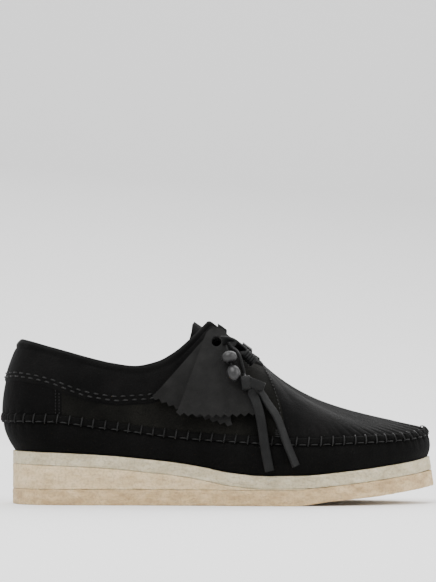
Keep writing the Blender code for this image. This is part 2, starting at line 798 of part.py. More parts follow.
def punch(target, centre, radius):
    """A round hole through a thin piece, along Y."""
    mesh = bpy.data.meshes.new(target.name + "_punch")
    bm = bmesh.new()
    bmesh.ops.create_cone(
        bm, cap_ends=True, segments=16, radius1=radius, radius2=radius, depth=0.02
    )
    bmesh.ops.rotate(
        bm, verts=bm.verts, cent=(0, 0, 0), matrix=Matrix.Rotation(math.pi / 2, 3, "X")
    )
    bm.to_mesh(mesh)
    bm.free()
    cutter = bpy.data.objects.new(target.name + "_punch", mesh)
    bpy.context.collection.objects.link(cutter)
    cutter.location = centre
    cutter.hide_render = True
    cutter.display_type = "WIRE"
    cut = target.modifiers.new("hole", "BOOLEAN")
    cut.operation = "DIFFERENCE"
    cut.solver = "EXACT"
    cut.object = cutter


def smooth_route(rows):
    """The rows again at even steps along a smooth line."""
    rows = np.array([(*spot(ahead, height), turn) for ahead, height, turn in rows])
    run = np.append(0, np.cumsum(np.linalg.norm(np.diff(rows[:, :2], axis=0), axis=1)))
    fine = np.linspace(0, run[-1], max(4, round(run[-1] / LACE_STEP)))
    return np.column_stack([monotone(run, rows[:, k], fine) for k in range(rows.shape[1])])


def span(run, near):
    """The near distances, with hollows bridged straight as a hanging lace would."""
    near = np.array(near, float)
    bridged = near.copy()
    for i in range(len(near)):
        for k in range(i + 2, len(near)):
            between = np.arange(i + 1, k)
            line = np.interp(run[between], [run[i], run[k]], [near[i], near[k]])
            bridged[between] = np.minimum(bridged[between], line)
    return bridged


def depth_over(trees, x, z, half_x, half_z):
    """The nearest surface to the outer side over a small patch round (x, z)."""
    patch = [(x + a * half_x, z + b * half_z) for a in (-1, 0, 1) for b in (-1, 0, 1)]
    found = [nearest_depth(trees, *place) for place in patch]
    return min(y for y in found if y is not None)


def hang(route, trees):
    """Route rows of x, z and turn as x, y, z and turn, hanging just off the surfaces behind."""
    route = smooth_route(route)
    turn = np.radians(route[:, 2])
    reach = np.abs(np.cos(turn)) * LACE_WIDTH / 2 + np.abs(np.sin(turn)) * LACE_THICK / 2
    deep = np.abs(np.sin(turn)) * LACE_WIDTH / 2 + np.abs(np.cos(turn)) * LACE_THICK / 2
    near = [depth_over(trees, x, z, half, half) for (x, z, _), half in zip(route, reach)]
    run = np.append(0, np.cumsum(np.linalg.norm(np.diff(route[:, :2], axis=0), axis=1)))
    y = span(run, near) - LACE_CLEAR - deep
    return np.column_stack([route[:, 0], y, route[:, 1], route[:, 2]])


def make_ribbon(name, rows, look):
    """A flat lace along rows of x, y, z and the turn of its face in degrees."""
    centre, turn = rows[:, :3], np.radians(rows[:, 3:4])
    ahead = np.gradient(centre, axis=0)
    ahead /= np.linalg.norm(ahead, axis=1)[:, None]
    out = np.array([0, -1, 0]) + ahead * ahead[:, 1:2]
    out /= np.linalg.norm(out, axis=1)[:, None]
    side = np.cross(ahead, out)
    across = side * np.cos(turn) + out * np.sin(turn)
    face = out * np.cos(turn) - side * np.sin(turn)
    line = np.stack([centre + across * LACE_WIDTH * c for c in (-0.5, 0.0, 0.5)], axis=1)
    lift = face[:, None, :] * LACE_THICK / 2
    return plate(name, line + lift, line - lift, look)


def top_height(trees, x, y):
    """The height of the first surface seen from above at (x, y)."""
    hits = [tree.ray_cast(Vector((x, y, 0.2)), Vector((0, 0, -1)))[0] for tree in trees]
    return max((hit.z for hit in hits if hit is not None), default=0.0)


def make_bar(name, ahead, trees, look):
    """A flat lace across the gap between the facings, held on their edges."""
    x = FACING_X + ahead * SOLE_LENGTH
    y = np.linspace(-BAR_REACH, BAR_REACH, 31)
    lines = []
    for row in (x + LACE_WIDTH / 2, x, x - LACE_WIDTH / 2):
        near = [-max(top_height(trees, row + a, v) for a in (-BAR_MARGIN, 0.0, BAR_MARGIN)) for v in y]
        z = GAP - span(y, near)
        lines.append(np.column_stack([np.full(len(y), row), y, z]))
    back = np.array(lines)
    return plate(name, back + np.array([0, 0, LACE_THICK]), back, look)


def frame_on(axis):
    """Two directions square to an axis."""
    axis = np.asarray(axis, float) / np.linalg.norm(axis)
    first = np.cross(axis, [0.0, 1.0, 0.0])
    first /= np.linalg.norm(first)
    return axis, first, np.cross(axis, first)


def lathe(name, centre, axis, profile, look, around=24):
    """A turned body from pairs of radius and height. Pairs at radius 0 close it, else it has a bore."""
    axis, first, second = frame_on(axis)
    turns = np.linspace(0, 2 * math.pi, around, endpoint=False)
    rings = [
        [centre + axis * h + r * (first * math.cos(a) + second * math.sin(a)) for a in turns]
        for r, h in profile
        if r > 0
    ]
    points = np.array(rings).reshape(-1, 3)
    if len(rings) == len(profile):
        return solid(name, points, torus_faces(len(rings), around), look)
    faces = torus_faces(len(rings), around)[:-around]
    ends = [centre + axis * profile[0][1], centre + axis * profile[-1][1]]
    points = np.concatenate([points, ends])
    last = (len(rings) - 1) * around
    for i in range(around):
        j = (i + 1) % around
        faces.append([len(points) - 2, j, i])
        faces.append([len(points) - 1, last + i, last + j])
    return solid(name, points, faces, look)


def bead_profile(size, bore, depth):
    """Half the section of a bead from the bottom up, then down its bore."""
    width, height = size
    start = -math.pi / 2 if depth < height else -math.acos(bore / width)
    angles = np.linspace(start, math.acos(bore / width), 11)
    outside = [(width / 2 * math.cos(a), height / 2 * math.sin(a)) for a in angles]
    if depth < height:
        outside[0] = (0.0, -height / 2)
        floor = outside[-1][1] - depth
        return outside + [(bore / 2, floor), (0.0, floor)]
    return outside


def string_points(trees):
    """The bead string's points, the beads just off what is behind them."""
    places = [spot(*row) for row in BEAD_STRING]
    depths = []
    for (x, z), (width, height) in zip(places[1:], (ROUND_BEAD, DROP_BEAD)):
        depths.append(depth_over(trees, x, z, width / 2, height / 2) - LACE_CLEAR - width / 2)
    depths.insert(0, depths[0] + STRING_DEPTH)
    return np.array([(x, y, z) for (x, z), y in zip(places, depths)])


def make_beads(trees, looks):
    """Two beads on one string: the upper is bored through and the lower is blind."""
    string = string_points(trees)
    way = string[0] - string[1], string[1] - string[2]
    way = [w / np.linalg.norm(w) for w in way]
    lathe("bead_round", string[1], way[0] + way[1], bead_profile(ROUND_BEAD, BORE, 1.0), looks["bead"])
    blind = 0.45 * DROP_BEAD[1]
    lathe("bead_drop", string[2], way[1], bead_profile(DROP_BEAD, BORE, blind), looks["bead_green"])
    curve = bpy.data.curves.new("bead_string", "CURVE")
    curve.dimensions = "3D"
    curve.bevel_depth = STRING / 2
    curve.bevel_resolution = 2
    curve.use_fill_caps = True
    line = curve.splines.new("POLY")
    points = [string[0], string[1], string[2] + way[1] * (DROP_BEAD[1] / 2 - blind + STRING)]
    line.points.add(len(points) - 1)
    for point, place in zip(line.points, points):
        point.co = (*place, 1.0)
    curve.materials.append(looks["lace"])
    made = bpy.data.objects.new("bead_string", curve)
    bpy.context.collection.objects.link(made)


def make_winding(trees, look):
    """The wound knot where the lace leaves the facing: a short roll with a rib for each turn."""
    x, z = spot(*WINDING_PLACE)
    slope = math.radians(WINDING_SLOPE)
    y = depth_over(trees, x, z, WINDING_RADIUS, WINDING_RADIUS) - LACE_CLEAR - WINDING_RADIUS
    h = np.linspace(-0.5, 0.5, 4 * WINDING_TURNS + 1)
    ribs = 0.86 + 0.14 * np.abs(np.sin(math.pi * WINDING_TURNS * (h + 0.5)))
    profile = [(0.0, -WINDING_LENGTH / 2)]
    profile += [(WINDING_RADIUS * r, WINDING_LENGTH * v) for r, v in zip(ribs, h)]
    profile += [(0.0, WINDING_LENGTH / 2)]
    axis = (math.cos(slope), 0.0, -math.sin(slope))
    return lathe("lace_winding", np.array([x, y, z]), axis, profile, look, around=16)


def make_knot(trees, look):
    """The overhand knot above the two loose ends, as a rounded block."""
    wide, thick, tall = KNOT_SIZE
    x, z = spot(*KNOT_PLACE)
    y = depth_over(trees, x, z, wide / 2, tall / 2) - LACE_CLEAR - thick / 2
    bm = bmesh.new()
    bmesh.ops.create_cube(bm, size=1.0)
    bmesh.ops.scale(bm, vec=(wide, thick, tall), verts=bm.verts)
    bmesh.ops.translate(bm, vec=(x, y, z), verts=bm.verts)
    bmesh.ops.bevel(bm, geom=bm.edges[:], offset=0.3 * thick, segments=3, affect="EDGES")
    points = [tuple(v.co) for v in bm.verts]
    faces = [[v.index for v in f.verts] for f in bm.faces]
    bm.free()
    return solid("lace_knot", points, faces, look)


def make_lace(uppers, fobs, looks):
    look = looks["lace"]
    for name, ahead in BARS.items():
        make_bar(name, ahead, uppers, look)
    trees = uppers[:1] + fobs
    make_winding(trees, look)
    make_knot(trees, look)
    for name, route in [
        ("lace_fold", LACE_FOLD),
        ("lace_drop", LACE_DROP),
        ("lace_front", LACE_FRONT),
        ("lace_rear", LACE_REAR),
    ]:
        make_ribbon(name, hang(route, trees), look)


def make_looks():
    return {
        "suede": material("suede", (0.020, 0.019, 0.018), 0.95),
        "tongue": material("tongue_suede", (0.030, 0.028, 0.026), 0.95),
        "fob": material("fob_leather", (0.012, 0.012, 0.012), 0.6),
        "lace": material("lace_leather", (0.010, 0.010, 0.010), 0.5),
        "bead": material("bead_black", (0.010, 0.010, 0.011), 0.3),
        "bead_green": material("bead_dark_green", (0.012, 0.020, 0.014), 0.3),
        "lining": material("lining_leather", (0.16, 0.11, 0.07), 0.7),
        "crepe_top": material("crepe_top", (0.42, 0.36, 0.26), 0.9),
        "crepe_mid": material("crepe_middle", (0.50, 0.38, 0.22), 0.9),
        "crepe_low": material("crepe_low", (0.40, 0.28, 0.15), 0.9),
    }


def main():
    for old in list(bpy.data.objects):
        bpy.data.objects.remove(old, do_unlink=True)
    looks = make_looks()
    make_sole(looks)
    make_insole(looks)
    rings, upper = make_upper(looks)
    tongue = make_tongue(rings, looks)
    against = [tree_of(upper)]
    rear = make_fob("fob_rear", REAR_FOB_TOP, REAR_FOB_SWING, REAR_FOB_GROWTH, against, looks)
    fobs = [tree_of(rear)]
    front = make_fob("fob_front", FRONT_FOB_TOP, FRONT_FOB_SWING, 1.0, against + fobs, looks)
    fobs.append(tree_of(front))
    make_beads(fobs, looks)
    make_lace([tree_of(upper), tree_of(tongue)], fobs, looks)


main()
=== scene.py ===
"""The looks of a right suede derby shoe with a raised moccasin seam and a layered crepe sole.

The shape tables and functions are the part's own, here at a finer step.
"""

import math

import bmesh
import bpy
import numpy as np
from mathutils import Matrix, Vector, noise
from mathutils.bvhtree import BVHTree

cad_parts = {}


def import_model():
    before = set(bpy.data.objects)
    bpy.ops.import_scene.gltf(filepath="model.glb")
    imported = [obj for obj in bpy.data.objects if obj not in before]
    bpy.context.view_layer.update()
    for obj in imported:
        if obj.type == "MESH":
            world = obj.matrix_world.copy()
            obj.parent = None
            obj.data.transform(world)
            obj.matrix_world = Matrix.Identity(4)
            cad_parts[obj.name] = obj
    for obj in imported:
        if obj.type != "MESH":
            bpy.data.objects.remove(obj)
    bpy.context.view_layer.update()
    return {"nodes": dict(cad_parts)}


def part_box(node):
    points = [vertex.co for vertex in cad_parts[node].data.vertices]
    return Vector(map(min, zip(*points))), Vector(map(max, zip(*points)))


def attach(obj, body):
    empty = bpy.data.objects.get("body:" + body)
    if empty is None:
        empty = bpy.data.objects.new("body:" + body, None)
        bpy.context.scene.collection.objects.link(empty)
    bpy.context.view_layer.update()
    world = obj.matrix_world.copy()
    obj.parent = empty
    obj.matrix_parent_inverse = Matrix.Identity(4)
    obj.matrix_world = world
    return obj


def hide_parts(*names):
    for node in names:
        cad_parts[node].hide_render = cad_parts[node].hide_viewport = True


# Sole
SOLE_LENGTH = 0.286
HEEL_WIDTH = 0.075
WAIST_WIDTH = 0.080
BALL_WIDTH = 0.106
HEEL_TOP = 0.0360
BALL_TOP = 0.0198
TOE_TOP = 0.0318
TOE_SPRING = 0.0120
OUTSOLE_THICK = 0.0105
MIDSOLE_THICK = 0.0086
TOE_DRAFT = 0.0030

# Upper
WALL = 0.0016
QUARTER_STEP = 0.0010
BAND_STEP = 0.0010
BAND_WIDTH = 0.0270
COLLAR_PAD = 0.0016
FEATHER_INSET = 0.0014
RIDGE_TALL = 0.0046
RIDGE_PROUD = 0.0016
HEEL_OVERHANG = 0.0065
SIDE_OVERHANG = 0.0015
TOE_OVERHANG = -0.0045
WALL_BULGE = 0.0020
SEAM_HEEL = 0.0560
SEAM_BALL = 0.0404
SEAM_TOE = 0.0480

# Opening
COLLAR_BACK_SET = 0.0138
COLLAR_BACK_HEIGHT = 0.1090
COLLAR_LOW_HEIGHT = 0.0906
COLLAR_WIDTH = 0.0670
FACING_SET = 0.1410
FACING_RISE = 0.0122
FACING_HEIGHT = COLLAR_BACK_HEIGHT + FACING_RISE
FACING_GAP = 0.0280
THROAT_SET = 0.1760
THROAT_HEIGHT = 0.0960
THROAT_GAP = 0.0165

# Tongue
TONGUE_SET = 0.1310
TONGUE_RISE = 0.0020
TONGUE_TOP = FACING_HEIGHT + TONGUE_RISE
TONGUE_WIDTH = 0.0500
TONGUE_THICK = 0.0026
TONGUE_LAP = 0.0160
TONGUE_SWEEP = 0.0060
TONGUE_GAP = 0.0016

# Fobs: their tops, and the lace's places further down, are shares of the sole's length ahead of the
# facing's corner and of that corner's height.
FOB_LENGTH = 0.0600
FOB_WIDTH = 0.0530
FOB_THICK = 0.0021
FOB_TOP_RADIUS = 0.0078
FOB_SAG = 0.0016
FOB_HOLE = 0.0064
FOB_HOLE_DROP = 0.0098
FOB_TOOTH = 0.0052
FOB_TOOTH_DEPTH = 0.0016
FOB_GAP = 0.0005
FOB_NECK = 0.7
FOB_LEAN = 1.2
FRONT_FOB_TOP = (0.0177, 0.9769)
FRONT_FOB_SWING = 0.0
REAR_FOB_TOP = (0.0295, 0.9604)
REAR_FOB_SWING = 20.0
REAR_FOB_GROWTH = 1.06

# Beads: width and height
ROUND_BEAD = (0.0104, 0.0084)
DROP_BEAD = (0.0090, 0.0112)
BORE = 0.0032
STRING = 0.0017
STRING_DEPTH = 0.0042

# Lace
LACE_WIDTH = 0.0062
LACE_THICK = 0.0018
LACE_CLEAR = 0.0006
LACE_STEP = 0.0025
WINDING_RADIUS = 0.0038
WINDING_LENGTH = 0.0094
WINDING_SLOPE = 42.0
WINDING_TURNS = 5

# Clearance between pieces that touch
GAP = 0.0003

HEEL_REACH = HEEL_OVERHANG + RIDGE_PROUD
BACK = -(SOLE_LENGTH + HEEL_REACH) / 2
HEEL_X = BACK + HEEL_REACH
FACING_X = BACK + FACING_SET

# Sole outline: share of the sole's length, the width it follows, and its outer and inner reach as
# shares of that width.
OUTLINE = [
    (0.000, HEEL_WIDTH, 0.000, 0.000),
    (0.020, HEEL_WIDTH, 0.280, 0.255),
    (0.075, HEEL_WIDTH, 0.450, 0.412),
    (0.160, HEEL_WIDTH, 0.507, 0.473),
    (0.300, WAIST_WIDTH, 0.506, 0.456),
    (0.420, WAIST_WIDTH, 0.552, 0.458),
    (0.540, BALL_WIDTH, 0.467, 0.392),
    (0.640, BALL_WIDTH, 0.499, 0.462),
    (0.730, BALL_WIDTH, 0.489, 0.499),
    (0.810, BALL_WIDTH, 0.434, 0.486),
    (0.885, BALL_WIDTH, 0.340, 0.434),
    (0.945, BALL_WIDTH, 0.212, 0.349),
    (0.985, BALL_WIDTH, 0.057, 0.231),
    (1.000, BALL_WIDTH, -0.075, 0.075),
]

# Sole top: share of the sole's length, then how much of the heel's and of the toe's rise it has.
SOLE_RISE = [
    (0.000, 1.000, 0.00),
    (0.216, 0.830, 0.00),
    (0.300, 0.700, 0.00),
    (0.384, 0.540, 0.00),
    (0.444, 0.370, 0.00),
    (0.517, 0.115, 0.00),
    (0.590, 0.000, 0.00),
    (0.680, 0.000, 0.02),
    (0.769, 0.000, 0.20),
    (0.898, 0.000, 0.58),
    (0.968, 0.000, 0.84),
    (1.000, 0.000, 1.00),
]

# Toe spring: share of the sole's length and of the spring.
SPRING = [
    (0.000, 0.00),
    (0.660, 0.00),
    (0.745, 0.24),
    (0.856, 0.50),
    (0.943, 0.79),
    (1.000, 1.00),
]

# Moccasin seam: share of the sole's length, shares of the heel's and the toe's rise above the ball,
# shares of the heel's and the toe's overhang beyond the side's, lean inwards in degrees, and share
# of the bulge of the wall under it.
SEAM = [
    (0.000, 1.00, 0.00, 1.00, 0.00, 0, 0.0),
    (0.110, 0.96, 0.00, 0.75, 0.00, 4, 0.2),
    (0.230, 0.68, 0.00, 0.35, 0.00, 8, 0.5),
    (0.370, 0.35, 0.00, 0.10, 0.00, 10, 0.6),
    (0.510, 0.14, 0.00, 0.00, 0.00, 12, 0.8),
    (0.675, 0.00, 0.00, 0.00, 0.05, 16, 1.0),
    (0.810, 0.00, 0.16, 0.00, 0.25, 24, 1.0),
    (0.920, 0.00, 0.36, 0.00, 0.70, 30, 1.0),
    (1.000, 0.00, 1.00, 0.00, 1.00, 34, 1.0),
]

# Edge of the opening over each place of the seam: the place as a share of the sole's length, the
# shares of the way to the facing's corner and on to the throat, shares of the collar's, facing's
# and throat's half widths, shares of the back's, facing's and throat's rise above the low collar,
# the turn of the wall in degrees, and how far the wall has its side shape, not its toe shape.
EDGE = [
    (0.000, 0.000, 0.0, 0.00, 0.0, 0.00, 1.00, 0.00, 0.00, 18, 1.00),
    (0.020, 0.018, 0.0, 0.31, 0.0, 0.00, 0.98, 0.00, 0.00, 20, 1.00),
    (0.050, 0.065, 0.0, 0.54, 0.0, 0.00, 0.90, 0.00, 0.00, 24, 1.00),
    (0.090, 0.145, 0.0, 0.70, 0.0, 0.00, 0.74, 0.00, 0.00, 28, 1.00),
    (0.145, 0.255, 0.0, 0.84, 0.0, 0.00, 0.53, 0.00, 0.00, 34, 1.00),
    (0.205, 0.375, 0.0, 0.94, 0.0, 0.00, 0.30, 0.00, 0.00, 40, 1.00),
    (0.265, 0.500, 0.0, 0.99, 0.0, 0.00, 0.10, 0.00, 0.00, 44, 1.00),
    (0.325, 0.620, 0.0, 1.00, 0.0, 0.00, 0.00, 0.00, 0.00, 48, 1.00),
    (0.375, 0.730, 0.0, 0.94, 0.0, 0.00, 0.00, 0.09, 0.00, 51, 1.00),
    (0.425, 0.830, 0.0, 0.82, 0.0, 0.00, 0.00, 0.32, 0.00, 54, 1.00),
    (0.470, 0.920, 0.0, 0.62, 0.0, 0.00, 0.00, 0.66, 0.00, 57, 1.00),
    (0.515, 1.000, 0.0, 0.00, 1.0, 0.00, 0.00, 1.00, 0.00, 60, 1.00),
    (0.575, 1.000, 0.5, 0.00, 0.5, 0.52, 0.00, 0.46, 0.48, 60, 1.00),
    (0.632, 1.000, 0.9, 0.00, 0.0, 1.00, 0.00, 0.06, 0.94, 60, 0.95),
    (0.700, 1.000, 0.95, 0.00, 0.0, 0.84, 0.00, 0.00, 1.04, 63, 0.68),
    (0.810, 1.000, 0.98, 0.00, 0.0, 0.58, 0.00, 0.00, 1.02, 67, 0.34),
    (0.915, 1.000, 1.0, 0.00, 0.0, 0.30, 0.00, 0.00, 1.00, 71, 0.10),
    (1.000, 1.000, 1.0, 0.00, 0.0, 0.00, 0.00, 0.00, 1.00, 74, 0.00),
]

# Where the quarter's front edge meets the seam, and where the collar's pad ends, as shares of the
# sole's length.
QUARTER_FRONT = 0.640
PAD_FRONT = 0.500

# Collar band: share of the sole's length under it, and share of the band's width.
BAND = [
    (0.000, 1.07),
    (0.100, 1.08),
    (0.170, 1.14),
    (0.240, 1.09),
    (0.310, 0.98),
    (0.400, 0.93),
    (0.500, 0.86),
    (0.575, 0.68),
    (0.640, 0.45),
]

# Lace routes: share of the sole's length ahead of the facing's corner, share of the corner's height,
# and the turn of the flat face in degrees.
LACE_FOLD = [
    (0.0306, 0.9009, -20),
    (0.0446, 0.9043, -50),
    (0.0586, 0.8919, -62),
    (0.0701, 0.8745, -58),
    (0.0799, 0.8523, -45),
]
LACE_DROP = [
    (0.0554, 0.8564, 80),
    (0.0659, 0.8399, 82),
    (0.0726, 0.8086, 84),
    (0.0774, 0.7723, 86),
    (0.0827, 0.7137, 88),
]
LACE_FRONT = [
    (0.1009, 0.6089, 8),
    (0.1093, 0.5594, 10),
    (0.1173, 0.4950, 12),
    (0.1299, 0.3062, 12),
    (0.1393, 0.1923, 14),
]
LACE_REAR = [
    (0.1233, 0.6056, 48),
    (0.1376, 0.5511, 46),
    (0.1540, 0.4950, 44),
    (0.1785, 0.3433, 42),
    (0.1998, 0.2195, 42),
]

# Bead string, placed like the lace. The beads sit on its middle and its end.
BEAD_STRING = [
    (0.0407, 0.8745),
    (0.0470, 0.8078),
    (0.0572, 0.7219),
]


def monotone(xs, ys, x):
    """A smooth curve through the rows that never swings past them."""
    xs, ys = np.asarray(xs, float), np.asarray(ys, float)
    step = np.diff(xs)
    slope = np.diff(ys) / step
    tangent = np.zeros(len(xs))
    same = slope[1:] * slope[:-1] > 0
    before = 2 * step[1:] + step[:-1]
    after = step[1:] + 2 * step[:-1]
    with np.errstate(divide="ignore", invalid="ignore"):
        mean = (before + after) / (before / slope[:-1] + after / slope[1:])
    tangent[1:-1] = np.where(same, mean, 0.0)
    tangent[0], tangent[-1] = slope[0], slope[-1]
    x = np.clip(x, xs[0], xs[-1])
    i = np.clip(np.searchsorted(xs, x, side="right") - 1, 0, len(step) - 1)
    t = (x - xs[i]) / step[i]
    rise = (ys[i + 1] - ys[i]) * (3 * t**2 - 2 * t**3)
    bend = step[i] * (tangent[i] * t * (1 - t) ** 2 - tangent[i + 1] * t**2 * (1 - t))
    return ys[i] + rise + bend


def column(table, k):
    return [row[k] for row in table]


def closed_spline(knots):
    """Second derivatives of the smooth closed curve through evenly counted knots."""
    n = len(knots)
    matrix = 4 * np.eye(n) + np.roll(np.eye(n), 1, axis=1) + np.roll(np.eye(n), -1, axis=1)
    bend = 6 * (np.roll(knots, 1, axis=0) - 2 * knots + np.roll(knots, -1, axis=0))
    return np.linalg.solve(matrix, bend)


def outline_knots():
    outer = [(HEEL_X + a * SOLE_LENGTH, -w * lateral) for a, w, lateral, _ in OUTLINE]
    inner = [(HEEL_X + a * SOLE_LENGTH, w * medial) for a, w, _, medial in OUTLINE[1:-1]]
    return np.array(outer + inner[::-1])


KNOTS = outline_knots()
BENDS = closed_spline(KNOTS)
HALF = len(OUTLINE) - 1


def outline(side, s):
    """The sole's outline at s, from 0 at the heel to 1 at the toe, on the side -1 or +1."""
    p = np.where(side < 0, s * HALF, 2 * HALF - s * HALF) % (2 * HALF)
    i = np.floor(p).astype(int) % (2 * HALF)
    j = (i + 1) % (2 * HALF)
    t = (p - np.floor(p))[:, None]
    a, b = 1 - t, t
    flat = a * KNOTS[i] + b * KNOTS[j]
    return flat + ((a**3 - a) * BENDS[i] + (b**3 - b) * BENDS[j]) / 6


def outward(side, s):
    """The outline's direction away from the shoe, in plan."""
    small = 1e-4
    ahead = np.where(s + small > 1, 1 - (s + small - 1), s + small)
    behind = np.abs(s - small)
    side_ahead = np.where(s + small > 1, -side, side)
    side_behind = np.where(s - small < 0, -side, side)
    d = outline(side_ahead, ahead) - outline(side_behind, behind)
    n = np.stack([d[:, 1], -d[:, 0]], axis=1) * -side[:, None]
    return n / np.linalg.norm(n, axis=1)[:, None]


DENSE = np.linspace(0, 1, 801)
DENSE_X = outline(-np.ones(len(DENSE)), DENSE)[:, 0]


def s_at(share):
    """Where along the outline a share of the sole's length is."""
    return np.interp(HEEL_X + np.asarray(share) * SOLE_LENGTH, DENSE_X, DENSE)


def length_share(x):
    return np.clip((x - HEEL_X) / SOLE_LENGTH, 0, 1)


def sole_top(x):
    a = length_share(x)
    heel = monotone(column(SOLE_RISE, 0), column(SOLE_RISE, 1), a)
    toe = monotone(column(SOLE_RISE, 0), column(SOLE_RISE, 2), a)
    return BALL_TOP + heel * (HEEL_TOP - BALL_TOP) + toe * (TOE_TOP - BALL_TOP)


def sole_bottom(x):
    return TOE_SPRING * monotone(column(SPRING, 0), column(SPRING, 1), length_share(x))


def midsole_bottom(x):
    return sole_top(x) - MIDSOLE_THICK


def loop_of(half):
    """The closed walk along the outer side to the front and back along the inner side."""
    meets = half[-1] >= 1
    back = half[-2:0:-1] if meets else half[:0:-1]
    s = np.concatenate([half, back])
    side = np.concatenate([-np.ones(len(half)), np.ones(len(back))])
    return side, s


def cap(first, count, half_count):
    """Faces across the shoe between the outer and inner points of one ring."""
    faces = []
    for i in range(half_count):
        outer = (i, i + 1)
        inner = ((count - i) % count, (count - i - 1) % count)
        face = [outer[0], outer[1], inner[1], inner[0]]
        face = [first + v for v in dict.fromkeys(face)]
        if len(face) > 2:
            faces.append(face)
    return faces


def draft(side, s):
    """How far the sole's side is drawn in at its top edge: only at the toe."""
    a = length_share(outline(side, s)[:, 0])
    return TOE_DRAFT * np.clip((a - 0.8) / 0.2, 0, 1) ** 2


def seam_table(side, s):
    """Height, overhang, lean and bulge of the seam around the shoe."""
    at = s_at(column(SEAM, 0))
    h, t, oh, ot, lean, bulge = (monotone(at, column(SEAM, k), s) for k in range(1, 7))
    height = SEAM_BALL + h * (SEAM_HEEL - SEAM_BALL) + t * (SEAM_TOE - SEAM_BALL)
    over = SIDE_OVERHANG + oh * (HEEL_OVERHANG - SIDE_OVERHANG)
    over = over + ot * (TOE_OVERHANG - SIDE_OVERHANG)
    return height, over, np.radians(lean), bulge * WALL_BULGE


def wall_point(side, s, share):
    """The upper under the seam, from the sole at 0 to the seam at 1."""
    height, over, _, bulge = seam_table(side, s)
    n = outward(side, s)
    feather = outline(side, s) - n * (FEATHER_INSET + draft(side, s)[:, None])
    seam = outline(side, s) + n * over[:, None]
    out = 1 - (1 - share) ** 1.8
    flat = feather + (seam - feather) * out + n * (bulge * math.sin(math.pi * share))[:, None]
    low = sole_top(feather[:, 0]) + GAP
    return np.column_stack([flat, low + (height - low) * share])


def seam_top(side, s):
    _, _, lean, _ = seam_table(side, s)
    n = outward(side, s)
    base = wall_point(side, s, 1.0)
    base[:, :2] -= n * (RIDGE_TALL * np.sin(lean))[:, None]
    base[:, 2] += RIDGE_TALL * np.cos(lean)
    return base


def edge_point(side, s):
    """The outer edge of the opening."""
    at = s_at(column(EDGE, 0))
    c = [monotone(at, column(EDGE, k), s) for k in range(1, 9)]
    x = BACK + COLLAR_BACK_SET + c[0] * (FACING_SET - COLLAR_BACK_SET) + c[1] * (THROAT_SET - FACING_SET)
    y = (c[2] * COLLAR_WIDTH + c[3] * FACING_GAP + c[4] * THROAT_GAP) / 2
    low = COLLAR_LOW_HEIGHT
    z = low + c[5] * (COLLAR_BACK_HEIGHT - low) + c[6] * (FACING_HEIGHT - low)
    z = z + c[7] * (THROAT_HEIGHT - low)
    return np.column_stack([x, y * side, z])


def upper_point(side, s, t):
    """The upper above the seam, from the seam at 0 to the edge at 1. t may differ from place to place."""
    at = s_at(column(EDGE, 0))
    turn = np.radians(monotone(at, column(EDGE, 9), s))
    sided = monotone(at, column(EDGE, 10), s)
    t = np.broadcast_to(t, s.shape)
    across = sided * (1 - np.cos(turn * t)) / (1 - np.cos(turn)) + (1 - sided) * t
    up = sided * np.sin(turn * t) / np.sin(turn) + (1 - sided) * (0.52 * t + 0.48 * t**4)
    foot, edge = seam_top(side, s), edge_point(side, s)
    return foot + (edge - foot) * np.column_stack([across, across, up])


def ring_normals(lines):
    """Outward directions of a grid of rings, from its neighbours."""
    around = np.roll(lines, -1, axis=1) - np.roll(lines, 1, axis=1)
    up = np.gradient(lines, axis=0)
    n = np.cross(around, up)
    return n / np.linalg.norm(n, axis=2)[:, :, None]


def band_start(side, s):
    """Where the collar band starts on each line from the seam to the edge."""
    t = np.linspace(0, 1, 41)
    lines = np.array([upper_point(side, s, v) for v in t])
    run = np.linalg.norm(np.diff(lines, axis=0), axis=2)
    left = np.concatenate([np.cumsum(run[::-1], axis=0)[::-1], np.zeros((1, len(s)))])
    width = BAND_WIDTH * monotone(s_at(column(BAND, 0)), column(BAND, 1), s)
    return np.array([np.interp(-width[i], -left[:, i], t) for i in range(len(s))])


def torus_faces(rows, count):
    """Faces of rings that close both around the shoe and through its opening."""
    faces = []
    for k in range(rows):
        for i in range(count):
            j, m = (i + 1) % count, (k + 1) % rows
            faces.append([k * count + i, k * count + j, m * count + j, m * count + i])
    return faces


def under(tree, x, y):
    """The point straight above (x, y) on the inner surface, and its way inwards, if there is one."""
    place, normal, _, _ = tree.ray_cast(Vector((x, y, sole_top(x) + 0.02)), Vector((0, 0, 1)))
    if place is None:
        return None
    return np.array(place), np.array(normal if normal.z < 0 else -normal)


def fill_row(row, x_row, columns, throat, start, rise, swept):
    """The tongue's row with its open middle arched between the parts under the facings."""
    known = [i for i, p in enumerate(row) if p is not None]
    middle = len(row) // 2
    left = max([i for i in known if i < middle], default=None)
    right = min([i for i in known if i > middle], default=None)
    if row[middle] is not None:
        return row
    crown = start + rise * (x_row - throat)
    for i in range(len(row)):
        if row[i] is None:
            end = left if i < middle else right
            share = abs(columns[i]) / abs(columns[end])
            z = crown - (crown - row[end][2]) * share**2
            row[i] = np.array([x_row - swept * columns[i] ** 2, columns[i] * TONGUE_WIDTH / 2, z])
    return row


def fob_half_width(b, growth):
    """Half the fob's width at a distance from its top: a round head, then straight sides."""
    neck = FOB_NECK * FOB_TOP_RADIUS
    if b < neck:
        return math.sqrt(FOB_TOP_RADIUS**2 - (FOB_TOP_RADIUS - b) ** 2)
    head = FOB_TOP_RADIUS * math.sqrt(1 - (1 - FOB_NECK) ** 2)
    return head + (growth * FOB_WIDTH / 2 - head) * (b - neck) / (FOB_LENGTH - neck)


